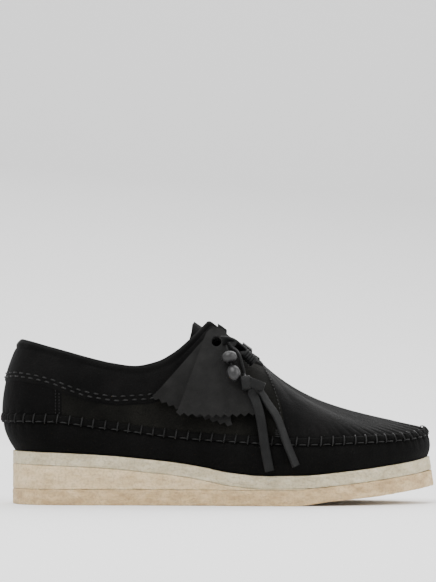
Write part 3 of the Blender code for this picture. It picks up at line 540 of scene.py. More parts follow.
def nearest_depth(trees, x, z):
    """The depth of the first surface seen from the outer side at (x, z)."""
    start, way = Vector((x, -0.2, z)), Vector((0, 1, 0))
    hits = [tree.ray_cast(start, way)[0] for tree in trees]
    depths = [hit.y for hit in hits if hit is not None and hit.y < -FACING_GAP / 4]
    return min(depths) if depths else None


def fob_depths(trees, place, rows, growth):
    """A depth and a slant for each row, clear of what the fob hangs against."""
    shares = np.linspace(-1, 1, 9)
    fits = []
    for b in rows:
        found = []
        for c in shares:
            a = c * fob_half_width(b, growth)
            for near in (-0.002, 0.0, 0.002):
                x, z = place(a, b + near)
                y = nearest_depth(trees, x, z)
                if y is not None:
                    found.append((a, y))
        fits.append(found if len(found) > len(shares) else None)
    slants = [np.polyfit(*zip(*found), 1)[0] for found in fits if found]
    slant = float(np.mean(slants))
    depths = [min(y - slant * a for a, y in found) if found else None for found in fits]
    first = next(i for i, d in enumerate(depths) if d is not None)
    fall = (depths[first] - depths[first + 1]) / (rows[first + 1] - rows[first])
    for i in range(first):
        depths[i] = depths[first] + min(fall, FOB_LEAN) * (rows[first] - rows[i])
    smooth = np.convolve([depths[0], *depths, depths[-1]], [0.25, 0.5, 0.25], mode="valid")
    return np.minimum(smooth, depths), slant


def smooth_route(rows):
    """The rows again at even steps along a smooth line."""
    rows = np.array([(*spot(ahead, height), turn) for ahead, height, turn in rows])
    run = np.append(0, np.cumsum(np.linalg.norm(np.diff(rows[:, :2], axis=0), axis=1)))
    fine = np.linspace(0, run[-1], max(4, round(run[-1] / LACE_STEP)))
    return np.column_stack([monotone(run, rows[:, k], fine) for k in range(rows.shape[1])])


def span(run, near):
    """The near distances, with hollows bridged straight as a hanging lace would."""
    near = np.array(near, float)
    bridged = near.copy()
    for i in range(len(near)):
        for k in range(i + 2, len(near)):
            between = np.arange(i + 1, k)
            line = np.interp(run[between], [run[i], run[k]], [near[i], near[k]])
            bridged[between] = np.minimum(bridged[between], line)
    return bridged


def spot(ahead, height):
    """A place beside the shoe from its shares: how far along it, and its height."""
    return FACING_X + ahead * SOLE_LENGTH, height * FACING_HEIGHT


def depth_over(trees, x, z, half_x, half_z):
    """The nearest surface to the outer side over a small patch round (x, z)."""
    patch = [(x + a * half_x, z + b * half_z) for a in (-1, 0, 1) for b in (-1, 0, 1)]
    found = [nearest_depth(trees, *place) for place in patch]
    return min(y for y in found if y is not None)


def hang(route, trees):
    """Route rows of x, z and turn as x, y, z and turn, hanging just off the surfaces behind."""
    route = smooth_route(route)
    turn = np.radians(route[:, 2])
    reach = np.abs(np.cos(turn)) * LACE_WIDTH / 2 + np.abs(np.sin(turn)) * LACE_THICK / 2
    deep = np.abs(np.sin(turn)) * LACE_WIDTH / 2 + np.abs(np.cos(turn)) * LACE_THICK / 2
    near = [depth_over(trees, x, z, half, half) for (x, z, _), half in zip(route, reach)]
    run = np.append(0, np.cumsum(np.linalg.norm(np.diff(route[:, :2], axis=0), axis=1)))
    y = span(run, near) - LACE_CLEAR - deep
    return np.column_stack([route[:, 0], y, route[:, 1], route[:, 2]])


def frame_on(axis):
    """Two directions square to an axis."""
    axis = np.asarray(axis, float) / np.linalg.norm(axis)
    first = np.cross(axis, [0.0, 1.0, 0.0])
    first /= np.linalg.norm(first)
    return axis, first, np.cross(axis, first)


def bead_profile(size, bore, depth):
    """Half the section of a bead from the bottom up, then down its bore."""
    width, height = size
    start = -math.pi / 2 if depth < height else -math.acos(bore / width)
    angles = np.linspace(start, math.acos(bore / width), 11)
    outside = [(width / 2 * math.cos(a), height / 2 * math.sin(a)) for a in angles]
    if depth < height:
        outside[0] = (0.0, -height / 2)
        floor = outside[-1][1] - depth
        return outside + [(bore / 2, floor), (0.0, floor)]
    return outside


def string_points(trees):
    """The bead string's points, the beads just off what is behind them."""
    places = [spot(*row) for row in BEAD_STRING]
    depths = []
    for (x, z), (width, height) in zip(places[1:], (ROUND_BEAD, DROP_BEAD)):
        depths.append(depth_over(trees, x, z, width / 2, height / 2) - LACE_CLEAR - width / 2)
    depths.insert(0, depths[0] + STRING_DEPTH)
    return np.array([(x, y, z) for (x, z), y in zip(places, depths)])

# Fineness
UPPER_STEPS = 300
SOLE_STEPS = 150

# Stitches: the distance from one to the next, the length that shows, and the thread's radius
WHIP_PITCH = 0.0080
WHIP_RADIUS = 0.00050
WHIP_SLANT = 0.0016
PUCKER = 0.0008
TUCK = 0.0006
FOLD_DEPTH = 0.0006
RUN_RADIUS = 0.00042
RUN_SHARE = 0.64
BAND_PITCH = 0.0060
BAND_DASH = 0.0037
BAND_ROWS = (0.0030, 0.0056)
BAND_END = 0.560
ROW_RADIUS = 0.00058
FACING_PITCH = 0.0032
FACING_DASH = 0.0020
FACING_SET_BACK = 0.0014
TACK_LENGTH = 0.0048
COUNTER_SET = 0.126
COUNTER_PITCH = 0.0021

# Collar roll: its height under the edge, and how far it stands out
ROLL_TALL = 0.0045
ROLL_PROUD = 0.0006
ROLL_GROOVE = 0.0005

# Sole surface
ROUGH = 0.00035
EDGE_ROUGH = 0.00045
LAYER_GAP = 0.00005
FINE_BEVEL = 0.0003

# Creases on the outer side: start and end as distance along the shoe and height, width and depth
CREASES = [
    ((-0.100, 0.083), (-0.062, 0.071), 0.0030, 0.0005),
    ((-0.125, 0.098), (-0.090, 0.090), 0.0025, 0.0004),
    ((-0.075, 0.060), (-0.040, 0.066), 0.0032, 0.0004),
    ((-0.052, 0.086), (-0.036, 0.062), 0.0028, 0.0004),
    ((0.040, 0.075), (0.066, 0.058), 0.0036, 0.0005),
    ((0.052, 0.079), (0.084, 0.060), 0.0034, 0.0004),
    ((0.088, 0.062), (0.104, 0.052), 0.0030, 0.0003),
    ((-0.020, 0.036), (0.012, 0.031), 0.0030, 0.0004),
    ((0.030, 0.030), (0.070, 0.033), 0.0026, 0.0004),
    ((-0.120, 0.050), (-0.096, 0.044), 0.0026, 0.0003),
]

# A whip stitch over the ridge: how far out it is, and its height as a share of the ridge's.
WHIP_SHAPE = [
    (-0.0022, 1.00),
    (-0.0012, 1.12),
    (0.0002, 1.16),
    (0.0012, 0.98),
    (0.0016, 0.55),
    (0.0015, 0.12),
    (0.0008, -0.12),
    (-0.0006, -0.22),
]

# The side of a crepe layer from the bottom up: share of the bevel, and share of the height.
LAYER_SIDE = [
    (1.0, 0.00),
    (0.3, 0.03),
    (0.0, 0.09),
    (0.0, 0.25),
    (0.0, 0.42),
    (0.0, 0.60),
    (0.0, 0.78),
    (0.0, 0.91),
    (0.3, 0.97),
    (1.0, 1.00),
]


def new_look(name, roughness=0.8):
    made = bpy.data.materials.new(name)
    made.use_nodes = True
    shader = made.node_tree.nodes["Principled BSDF"]
    shader.inputs["Roughness"].default_value = roughness
    return made, made.node_tree, shader


def add_noise(tree, scale, detail=4.0, stretch=(1, 1, 1)):
    """Noise in the shoe's own metres."""
    place = tree.nodes.new("ShaderNodeTexCoord")
    mapping = tree.nodes.new("ShaderNodeMapping")
    mapping.inputs["Scale"].default_value = stretch
    made = tree.nodes.new("ShaderNodeTexNoise")
    made.inputs["Scale"].default_value = scale
    made.inputs["Detail"].default_value = detail
    tree.links.new(place.outputs["Object"], mapping.inputs["Vector"])
    tree.links.new(mapping.outputs["Vector"], made.inputs["Vector"])
    return made.outputs["Fac"]


def add_ramp(tree, value, stops):
    made = tree.nodes.new("ShaderNodeValToRGB")
    bar = made.color_ramp.elements
    for element, (place, colour) in zip(bar, (stops[0], stops[-1])):
        element.position, element.color = place, (*colour, 1.0)
    for place, colour in stops[1:-1]:
        bar.new(place).color = (*colour, 1.0)
    tree.links.new(value, made.inputs["Fac"])
    return made.outputs["Color"]


def mix_colour(tree, a, b, factor, blend="MULTIPLY"):
    made = tree.nodes.new("ShaderNodeMix")
    made.data_type = "RGBA"
    made.blend_type = blend
    made.inputs[0].default_value = factor
    tree.links.new(a, made.inputs[6])
    tree.links.new(b, made.inputs[7])
    return made.outputs[2]


def add_bump(tree, shader, heights):
    """Bumps from pairs of a height and its depth in metres, the coarse ones first."""
    last = None
    for height, depth in heights:
        made = tree.nodes.new("ShaderNodeBump")
        made.inputs["Strength"].default_value = 1.0
        made.inputs["Distance"].default_value = depth
        tree.links.new(height, made.inputs["Height"])
        if last is not None:
            tree.links.new(last, made.inputs["Normal"])
        last = made.outputs["Normal"]
    tree.links.new(last, shader.inputs["Normal"])


def suede(name, dark, light, patch=38.0, nap=1500.0, sheen=0.18, depth=0.00022):
    """Napped leather: soft patches where the nap lies another way, and a fine grain."""
    made, tree, shader = new_look(name, 0.92)
    patches = add_ramp(tree, add_noise(tree, patch, 7.0), [(0.36, dark), (0.64, light)])
    grain = add_ramp(tree, add_noise(tree, nap, 3.0), [(0.30, (0.45,) * 3), (0.70, (1.5,) * 3)])
    tree.links.new(mix_colour(tree, patches, grain, 0.8), shader.inputs["Base Color"])
    shader.inputs["Sheen Weight"].default_value = sheen
    shader.inputs["Sheen Roughness"].default_value = 0.45
    shader.inputs["Specular IOR Level"].default_value = 0.06
    add_bump(tree, shader, [(add_noise(tree, 130.0, 6.0), 0.0006), (add_noise(tree, nap, 4.0), depth)])
    return made


def leather(name, colour, roughness, scale=900.0, depth=0.00012, gloss=0.16):
    made, tree, shader = new_look(name, roughness)
    lighter = tuple(min(1.0, 1.7 * c + 0.002) for c in colour)
    tone = add_ramp(tree, add_noise(tree, 120.0, 6.0), [(0.35, colour), (0.7, lighter)])
    tree.links.new(tone, shader.inputs["Base Color"])
    shader.inputs["Specular IOR Level"].default_value = gloss
    add_bump(tree, shader, [(add_noise(tree, 210.0, 5.0), 0.0004), (add_noise(tree, scale, 4.0), depth)])
    return made


def crepe(name, dark, middle, light):
    """Milky natural rubber with clouds, specks and a torn-looking grain."""
    made, tree, shader = new_look(name, 0.62)
    clouds = add_ramp(
        tree, add_noise(tree, 95.0, 9.0, (1, 1, 2.2)), [(0.32, dark), (0.5, middle), (0.68, light)]
    )
    specks = add_ramp(tree, add_noise(tree, 620.0, 4.0), [(0.33, (0.72,) * 3), (0.55, (1.04,) * 3)])
    tree.links.new(mix_colour(tree, clouds, specks, 0.75), shader.inputs["Base Color"])
    shader.inputs["Subsurface Weight"].default_value = 0.25
    shader.inputs["Subsurface Radius"].default_value = (0.004, 0.0025, 0.0012)
    shader.inputs["Subsurface Scale"].default_value = 1.0
    add_bump(
        tree,
        shader,
        [(add_noise(tree, 160.0, 8.0, (1, 1, 2.5)), 0.0012), (add_noise(tree, 900.0, 6.0), 0.0004)],
    )
    return made


def paint(name, colour, roughness):
    """Satin paint on turned wood."""
    made, tree, shader = new_look(name, roughness)
    lighter = tuple(1.5 * c for c in colour)
    tone = add_ramp(tree, add_noise(tree, 400.0, 4.0), [(0.4, colour), (0.7, lighter)])
    tree.links.new(tone, shader.inputs["Base Color"])
    add_bump(tree, shader, [(add_noise(tree, 500.0, 3.0, (1, 1, 6)), 0.00008)])
    return made


def make_looks():
    return {
        "counter": suede("counter_suede", (0.0014, 0.0014, 0.0014), (0.0024, 0.0023, 0.0022), 30, 1300, 0.015),
        "quarter": suede("quarter_suede", (0.0020, 0.0020, 0.0017), (0.0062, 0.0060, 0.0050), 34, 1200, 0.035),
        "apron": suede("apron_suede", (0.0018, 0.0018, 0.0018), (0.0046, 0.0044, 0.0043), 26, 1400, 0.03),
        "wall": suede("wall_suede", (0.0014, 0.0014, 0.0013), (0.0030, 0.0029, 0.0028), 30, 1300, 0.02),
        "band": suede("band_suede", (0.0014, 0.0014, 0.0014), (0.0036, 0.0035, 0.0034), 42, 1300, 0.025),
        "edge": suede("raw_edge", (0.010, 0.010, 0.0095), (0.022, 0.021, 0.020), 90, 1500, 0.05),
        "lining": leather("lining_leather", (0.012, 0.010, 0.008), 0.6, 700),
        "sock": leather("sock_leather", (0.14, 0.09, 0.052), 0.55, 800),
        "fob": leather("fob_leather", (0.0030, 0.0029, 0.0027), 0.72, 800, 0.0002),
        "fob_edge": leather("fob_cut_edge", (0.055, 0.054, 0.050), 0.9, 1200),
        "lace": leather("lace_leather", (0.0030, 0.0031, 0.0031), 0.6, 1100, 0.00018),
        "lace_cut": leather("lace_cut_end", (0.030, 0.031, 0.030), 0.85, 1200),
        "thread": leather("thread", (0.0042, 0.0042, 0.0041), 0.5, 2500, 0.0001),
        "bead_black": paint("bead_black", (0.0040, 0.0038, 0.0040), 0.42),
        "bead_dark": paint("bead_dark", (0.0040, 0.0038, 0.0042), 0.42),
        "crepe_top": crepe("crepe_top", (0.36, 0.305, 0.195), (0.43, 0.37, 0.245), (0.50, 0.44, 0.31)),
        "crepe_mid": crepe("crepe_middle", (0.46, 0.345, 0.19), (0.53, 0.405, 0.235), (0.60, 0.47, 0.29)),
        "crepe_low": crepe("crepe_low", (0.36, 0.245, 0.12), (0.45, 0.32, 0.165), (0.54, 0.40, 0.225)),
    }


def solid(name, points, faces, looks, picks=None, smooth_angle=50):
    """A closed piece from points and faces. picks says which of its looks each face has."""
    mesh = bpy.data.meshes.new(name)
    mesh.from_pydata([tuple(p) for p in points], [], [tuple(int(v) for v in f) for f in faces])
    for look in looks:
        mesh.materials.append(look)
    if picks is not None:
        mesh.polygons.foreach_set("material_index", list(picks))
    bm = bmesh.new()
    bm.from_mesh(mesh)
    bmesh.ops.recalc_face_normals(bm, faces=bm.faces)
    bm.to_mesh(mesh)
    bm.free()
    mesh.shade_smooth()
    mesh.set_sharp_from_angle(angle=math.radians(smooth_angle))
    made = bpy.data.objects.new(name, mesh)
    bpy.context.collection.objects.link(made)
    return made


def settle(made, slot, *nodes):
    """Puts a finished piece on the shoe: it rides, and may stand for CAD nodes. Its slot is not used."""
    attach(made, "root")
    if nodes:
        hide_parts(*nodes)
    return made


def crease_depth(points):
    """How far each point is pressed in by the creases. The inner side has them mirrored and weaker."""
    flat = points[..., [0, 2]]
    depth = np.zeros(points.shape[:-1])
    for start, end, width, deep in CREASES:
        a, b = np.array(start), np.array(end)
        along = np.clip(((flat - a) @ (b - a)) / ((b - a) @ (b - a)), -0.2, 1.2)
        foot = a + along[..., None] * (b - a)
        away = np.linalg.norm(flat - foot, axis=-1)
        taper = np.clip(1.0 - np.abs(along - 0.5) / 0.7, 0, 1)
        depth += deep * taper * (np.exp(-((away / width) ** 2)) - 0.45 * np.exp(-((away / width / 2) ** 2)))
    return depth * np.where(points[..., 1] < 0, 1.0, 0.7)


def upper_ring():
    """The places around the upper, with a close pair at each quarter's front edge."""
    half = np.linspace(0, 1, UPPER_STEPS + 1)
    front = float(s_at(QUARTER_FRONT))
    half = half[np.abs(half - front) > 0.0025]
    half = np.sort(np.append(half, [front - 0.0022, front - 0.0003, front + 0.0003, front + 0.0022]))
    side, s = loop_of(half)
    return side, s, s < front


def seam_run(side, s):
    """The distance along the seam from the heel round the outer side, and the whole length."""
    seam = wall_point(side, s, 1.0)
    steps = np.linalg.norm(np.roll(seam, -1, axis=0) - seam, axis=1)
    return np.append(0, np.cumsum(steps)[:-1]), steps.sum()


def make_upper(look):
    """The upper as rings from the sole up its outside, over the rim and down its inside."""
    side, s, quarter = upper_ring()
    band = band_start(side, s)
    wall = np.linspace(0, 1, 15)
    low = 1 - (1 - np.linspace(0.03, 1, 18)) ** 1.15
    high = [0.015, 0.03, 0.07, 0.14, 0.22, 0.31, 0.40, 0.49, 0.58]
    high += [0.66, 0.73, 0.79, 0.83, 0.87, 0.91, 0.95, 0.98, 1.0]
    base = [wall_point(side, s, v) for v in wall]
    foot = len(base) - 1
    base.append(seam_top(side, s) + np.array([0, 0, 1e-5]))
    base += [upper_point(side, s, band * v) for v in low]
    start = len(base) - 1
    base += [upper_point(side, s, band + (1 - band) * v) for v in high]
    base = np.array(base)
    end = len(base) - 1
    n = ring_normals(base)
    top = foot + 1
    run, whole = seam_run(side, s)
    count = round(whole / WHIP_PITCH)
    phase = np.cos(2 * math.pi * run / whole * count)
    pull = PUCKER * np.clip(phase, -0.2, 1)
    step = np.where(quarter, QUARTER_STEP, 0.0)
    raised = np.where(quarter, QUARTER_STEP + BAND_STEP, 0.0)
    creases = crease_depth(base)

    def out(k, amount):
        return base[k] + n[k] * (np.broadcast_to(amount, s.shape) - creases[k])[:, None]

    rings, kinds = [], []

    def add(ring, kind):
        rings.append(ring)
        kinds.append(kind)

    # The wall under the seam, puckered at each stitch
    for k in range(foot):
        add(out(k, -0.6 * pull * wall[k] ** 3), "wall")
    # The seam's ridge, tucked in below and above it
    up = base[top] - base[foot]
    up = up / np.linalg.norm(up, axis=1)[:, None]
    over = (n[foot] + n[top]) / 2
    over = over / np.linalg.norm(over, axis=1)[:, None]
    add(base[foot] - over * TUCK, "wall")
    for share in (0.02, 0.08, 0.2, 0.38, 0.56, 0.74, 0.88, 0.96, 1.0):
        bulge = RIDGE_PROUD * (1 - abs(2 * share - 1) ** 3.2) ** 0.5 - pull * math.sin(math.pi * share)
        add(base[foot] + up * RIDGE_TALL * share + over * bulge[:, None], "wall")
    dip = np.clip(1 - np.arange(len(low)) / 3, 0, 1)
    back_up = base[top] - over * TUCK
    add(back_up - up * TUCK / 2 + over * step[:, None], "low")
    for k in range(top + 1, start + 1):
        fold = FOLD_DEPTH * np.clip(phase, 0, 1) * dip[k - top - 1]
        add(out(k, step - fold), "low")
    # The band, with its roll and the groove under the roll
    left = np.linalg.norm(base[end] - base, axis=2)
    for k in range(start + 1, end + 1):
        away = left[k]
        roll = ROLL_PROUD * np.clip(1 - ((away - ROLL_TALL / 2) / (ROLL_TALL / 2)) ** 2, 0, 1)
        groove = ROLL_GROOVE * np.exp(-(((away - ROLL_TALL - 0.0004) / 0.0009) ** 2))
        rounded = np.clip(np.linalg.norm(base[k] - base[start], axis=1) / 0.0012, 0.3, 1.0)
        amount = step + (raised - step) * rounded + np.where(quarter, roll - groove, 0.0)
        add(out(k, amount), "band")
    # The rim and the inside, thicker at the collar's pad
    first_rim = len(rings)
    pad = np.where(quarter, COLLAR_PAD, 0.0) * np.clip((s_at(PAD_FRONT) - s) / 0.06, 0, 1)
    inside = base[end] - n[end] * (WALL + pad)[:, None]
    outside = rings[-1]
    middle, reach = (outside + inside) / 2, np.linalg.norm(outside - inside, axis=1) / 2
    ahead = base[end] - base[end - 1]
    ahead = ahead / np.linalg.norm(ahead, axis=1)[:, None]
    for angle in np.radians([22, 45, 68, 90, 112, 135, 158]):
        arc = middle + (outside - middle) * math.cos(angle)
        add(arc + ahead * (reach * math.sin(angle))[:, None], "rim")
    add(inside, "inside")
    padded = [(end - 3, 1.0), (end - 7, 1.0), (end - 11, 0.9), (end - 15, 0.7), (start, 0.55), (start - 3, 0.3)]
    thin = [(k, 0.0) for k in (start - 7, start - 12, top, foot, 11, 8, 5, 2)]
    for k, share in padded + thin:
        add(base[k] - n[k] * (WALL + share * pad)[:, None], "inside")
    bottom = base[0].copy()
    bottom[:, :2] -= outward(side, s) * WALL
    bottom[:, 2] = sole_top(bottom[:, 0]) + GAP
    add(bottom, "inside")
    rings = np.array(rings)
    rows, around = rings.shape[:2]
    names = ["wall", "apron", "quarter", "counter", "band", "edge", "lining"]
    counter = s < s_at(COUNTER_SET)
    picks = []
    for k in range(rows):
        kind = kinds[(k + 1) % rows]
        for i in range(around):
            if kind == "low":
                name = "apron" if not quarter[i] else "counter" if counter[i] else "quarter"
            elif kind == "band":
                name = "band" if quarter[i] else "apron"
            elif kind == "rim":
                name = "band" if s[i] < s_at(PAD_FRONT) else "edge"
            else:
                name = {"wall": "wall", "inside": "lining"}[kind]
            picks.append(names.index(name))
    faces = torus_faces(rows, around)
    made = solid("suede_upper", rings.reshape(-1, 3), faces, [look[name] for name in names], picks)
    settle(made, "suede", "upper")
    return rings, made, first_rim


def tube(path, radius, sides=6):
    """Points and faces of a thread along a path, pinched at its ends."""
    path = np.array(path, float)
    ahead = np.gradient(path, axis=0)
    ahead /= np.linalg.norm(ahead, axis=1)[:, None]
    helper = np.array([0.0, 0.0, 1.0]) if abs(ahead[len(path) // 2][2]) < 0.8 else np.array([1.0, 0.0, 0.0])
    first = np.cross(ahead, helper)
    first /= np.linalg.norm(first, axis=1)[:, None]
    second = np.cross(ahead, first)
    points, faces = [], []
    for k, place in enumerate(path):
        r = radius * (0.5 if k in (0, len(path) - 1) else 1.0)
        for a in np.linspace(0, 2 * math.pi, sides, endpoint=False):
            points.append(place + r * (first[k] * math.cos(a) + second[k] * math.sin(a)))
    for k in range(len(path) - 1):
        for i in range(sides):
            j = (i + 1) % sides
            faces.append([k * sides + i, k * sides + j, (k + 1) * sides + j, (k + 1) * sides + i])
    faces.append(list(range(sides))[::-1])
    faces.append([(len(path) - 1) * sides + i for i in range(sides)])
    return points, faces


def threads(name, paths, radius, look, slot="suede"):
    """Many short threads as one piece."""
    points, faces = [], []
    for path in paths:
        some, sides = tube(path, radius)
        faces += [[v + len(points) for v in f] for f in sides]
        points += some
    made = solid(name, points, faces, [look])
    return settle(made, slot)


def at(side, s, t, height=0.0):
    """A place on the upper above the seam at (side, s, t), lifted off it by a height, for one place."""
    small = 0.002
    sides, places = np.array([side] * 2), np.array([s, s])
    high = min(t + small, 1.0)
    here, above, below = (upper_point(sides[:1], places[:1], v)[0] for v in (t, high, high - 2 * small))
    up = above - below
    along = upper_point(sides, np.array([s - small, s + small]), t)
    n = np.cross(along[1] - along[0], up) * side
    n /= np.linalg.norm(n)
    if n[1] * side < 0 and abs(n[1]) > 0.2:
        n = -n
    return here + n * height


def row_at(run, values, v):
    """The row of values at a distance along a run."""
    return np.array([np.interp(v, run, values[:, c]) for c in range(3)])


def whip_stitches(look):
    """Thick thread over the ridge, one stitch at each pucker."""
    side, s = loop_of(np.linspace(0, 1, 601))
    run, whole = seam_run(side, s)
    count = round(whole / WHIP_PITCH)
    foot, top = wall_point(side, s, 1.0), seam_top(side, s)
    n = outward(side, s)
    n = np.column_stack([n, np.zeros(len(n))])
    paths, running = [], []
    for k in range(count):
        i = int(np.argmin(np.abs(run - k * whole / count)))
        j = (i + 4) % len(s)
        forward = foot[j] - foot[i]
        forward /= np.linalg.norm(forward)
        if side[i] > 0:
            forward = -forward
        slant = WHIP_SLANT * (-0.45 + 1.3 * np.clip((s[i] - 0.72) / 0.2, 0, 1))
        up = (top[i] - foot[i]) / RIDGE_TALL
        path = []
        for out, share in WHIP_SHAPE:
            place = foot[i] + up * RIDGE_TALL * share + n[i] * out
            path.append(place + forward * slant * (0.5 - share))
        paths.append(path)
        middle = (i + round(0.5 * (len(s) / count))) % len(s)
        reach = RUN_SHARE * whole / count / 2
        run_line = []
        for v in np.linspace(-1, 1, 7):
            spot_run = (run[middle] + v * reach) % whole
            q = row_at(run, foot, spot_run)
            m = row_at(run, n, spot_run)
            bow = 1 - v**4
            run_line.append(q + m * (0.0004 + 0.0008 * bow) + np.array([0, 0, 0.0001 - 0.0002 * v * v]))
        running.append(run_line)
    threads("running_stitches", running, RUN_RADIUS, look)
    return threads("whip_stitches", paths, WHIP_RADIUS, look)


def dash(places, lift=0.00035, sink=0.0006):
    """A stitch through places on the surface and their outward directions: its ends go in."""
    heights = [-sink, lift * 0.8, lift, lift * 0.8, -sink]
    return [p + n * h for (p, n), h in zip(places, heights)]


def band_rows(look):
    """Two rows of dashes above the collar band's lower edge, on both sides."""
    paths = []
    for k, above in enumerate(BAND_ROWS):
        dense = np.linspace(0.0, float(s_at(BAND_END)), 400)
        for side in (-1.0, 1.0):
            sides = np.full(len(dense), side)
            start = band_start(sides, dense)
            width = BAND_WIDTH * monotone(s_at(column(BAND, 0)), column(BAND, 1), dense)
            t = start + (1 - start) * above / width
            line = upper_point(sides, dense, t)
            higher = upper_point(sides, dense, t + 0.02)
            n = np.cross(np.gradient(line, axis=0), higher - line) * -side
            n /= np.linalg.norm(n, axis=1)[:, None]
            raise_by = QUARTER_STEP + BAND_STEP * min(1.0, 0.3 + above / 0.0012)
            run = np.append(0, np.cumsum(np.linalg.norm(np.diff(line, axis=0), axis=1)))
            first = BAND_PITCH * (0.25 if k == 0 else 0.75)
            for begin in np.arange(first, run[-1] - BAND_DASH, BAND_PITCH):
                spots = begin + BAND_DASH * np.linspace(0, 1, 5)
                away = [row_at(run, n, v) for v in spots]
                seat = [row_at(run, line, v) + raise_by * m for v, m in zip(spots, away)]
                paths.append(dash(zip(seat, away)))
    return threads("band_stitches", paths, ROW_RADIUS, look)


def facing_rows(look):
    """The row along each quarter's front edge, its bar tack, and the counter's two rows."""
    paths, tiny = [], []
    front = float(s_at(QUARTER_FRONT))
    counter = float(s_at(COUNTER_SET))
    back = FACING_SET_BACK / SOLE_LENGTH
    for side in (-1.0, 1.0):
        for place, pitch, length, until, out in (
            (front - back, FACING_PITCH, FACING_DASH, 0.97, paths),
            (counter - 0.004, COUNTER_PITCH, COUNTER_PITCH * 0.6, 0.0, tiny),
            (counter - 0.011, COUNTER_PITCH, COUNTER_PITCH * 0.6, 0.0, tiny),
        ):
            sides, spots = np.array([side]), np.array([place])
            top = until if until else float(band_start(sides, spots)[0])
            t = np.linspace(0.02 if until == 0 else 0.10, top, 120)
            line = np.array([at(side, place, v, QUARTER_STEP) for v in t])
            lift = np.array([at(side, place, v, QUARTER_STEP + 0.001) for v in t])
            n = (lift - line) * 1000
            run = np.append(0, np.cumsum(np.linalg.norm(np.diff(line, axis=0), axis=1)))
            for begin in np.arange(0.0, run[-1] - length, pitch):
                picks = begin + length * np.linspace(0, 1, 5)
                away = [row_at(run, n, v) for v in picks]
                seat = [row_at(run, line, v) for v in picks]
                out.append(dash(zip(seat, away), 0.0002, 0.0005))
        for v in np.linspace(0.01, 0.075, 4):
            sweep = np.linspace(front - back * 0.4, front - back * 0.4 - TACK_LENGTH / SOLE_LENGTH, 5)
            seat = [at(side, q, v, QUARTER_STEP) for q in sweep]
            lift = [at(side, q, v, QUARTER_STEP + 0.001) for q in sweep]
            away = [(high - low) * 1000 for high, low in zip(lift, seat)]
            paths.append(dash(zip(seat, away), 0.0004, 0.0004))
    threads("facing_stitches", paths, 0.00042, look)
    threads("counter_stitches", tiny, 0.00028, look)


def rough_layer(name, node, end, low, high, shares, look, seed):
    """A crepe layer with a torn, uneven edge."""
    half = np.linspace(0, end, round(SOLE_STEPS * end) + 1)
    side, s = loop_of(half)
    n = outward(side, s)
    lean = draft(side, s)
    count, points, faces = len(s), [], []
    for bevel, share in LAYER_SIDE:
        inset = lean * (shares[0] + (shares[1] - shares[0]) * share) + FINE_BEVEL * bevel
        flat = outline(side, s)
        z = low(flat[:, 0]) + (high(flat[:, 0]) - low(flat[:, 0])) * share
        for i in range(count):
            spot = Vector((flat[i, 0] * 260, flat[i, 1] * 260, z[i] * 420 + seed))
            fine = Vector((flat[i, 0] * 900, flat[i, 1] * 900, z[i] * 900 + seed))
            inset[i] += ROUGH * noise.noise(spot) + 0.5 * ROUGH * noise.noise(fine)
            if share in (0.0, 1.0):
                z[i] += EDGE_ROUGH * (noise.noise(spot * 1.7) - 0.35) * (1 if share else -1) * 0.5
        points.extend(np.column_stack([flat - n * inset[:, None], z]))
    for k in range(len(LAYER_SIDE) - 1):
        for i in range(count):
            j = (i + 1) % count
            faces.append([k * count + i, k * count + j, (k + 1) * count + j, (k + 1) * count + i])
    faces += cap(0, count, len(half) - 1)
    faces += cap((len(LAYER_SIDE) - 1) * count, count, len(half) - 1)
    made = solid(name, points, faces, [look])
    return settle(made, "crepe", node)


def make_sole(looks):
    """The three crepe layers. The wedge ends where the other two meet."""
    x = np.linspace(HEEL_X, HEEL_X + 0.75 * SOLE_LENGTH, 600)
    room = midsole_bottom(x) - (sole_bottom(x) + OUTSOLE_THICK)
    front = x[np.argmax(room < 0.0004)]
    end = float(np.interp(front, DENSE_X, DENSE))

    def meeting(v):
        return np.minimum(sole_bottom(v) + OUTSOLE_THICK, midsole_bottom(v) - LAYER_GAP)

    rough_layer("crepe_outsole", "outsole", 1.0, sole_bottom, meeting, (0.0, 0.45), looks["crepe_low"], 3)
    rough_layer("crepe_midsole", "midsole", 1.0, midsole_bottom, sole_top, (0.5, 1.0), looks["crepe_top"], 11)
    rough_layer(
        "crepe_wedge",
        "heel_wedge",
        end,
        lambda v: meeting(v) + LAYER_GAP,
        lambda v: np.maximum(midsole_bottom(v) - LAYER_GAP, meeting(v) + 2 * LAYER_GAP),
        (0.0, 0.0),
        looks["crepe_mid"],
        23,
    )


def grid_plate(name, front, back, looks, rim_look=0):
    """A closed piece between two grids, with its own look on the cut edge."""
    rows, count = front.shape[:2]
    points = np.concatenate([front.reshape(-1, 3), back.reshape(-1, 3)])
    size, faces = rows * count, []
    for r in range(rows - 1):
        for c in range(count - 1):
            a = r * count + c
            face = [a, a + 1, a + count + 1, a + count]
            faces += [face, [v + size for v in reversed(face)]]
    flat = len(faces)
    rim = list(range(count))
    rim += [r * count + count - 1 for r in range(1, rows)]
    rim += [(rows - 1) * count + c for c in range(count - 2, -1, -1)]
    rim += [r * count for r in range(rows - 2, 0, -1)]
    for a, b in zip(rim, rim[1:] + rim[:1]):
        faces.append([b, a, a + size, b + size])
    picks = [0] * flat + [rim_look] * (len(faces) - flat)
    return solid(name, points, faces, looks, picks, 40)


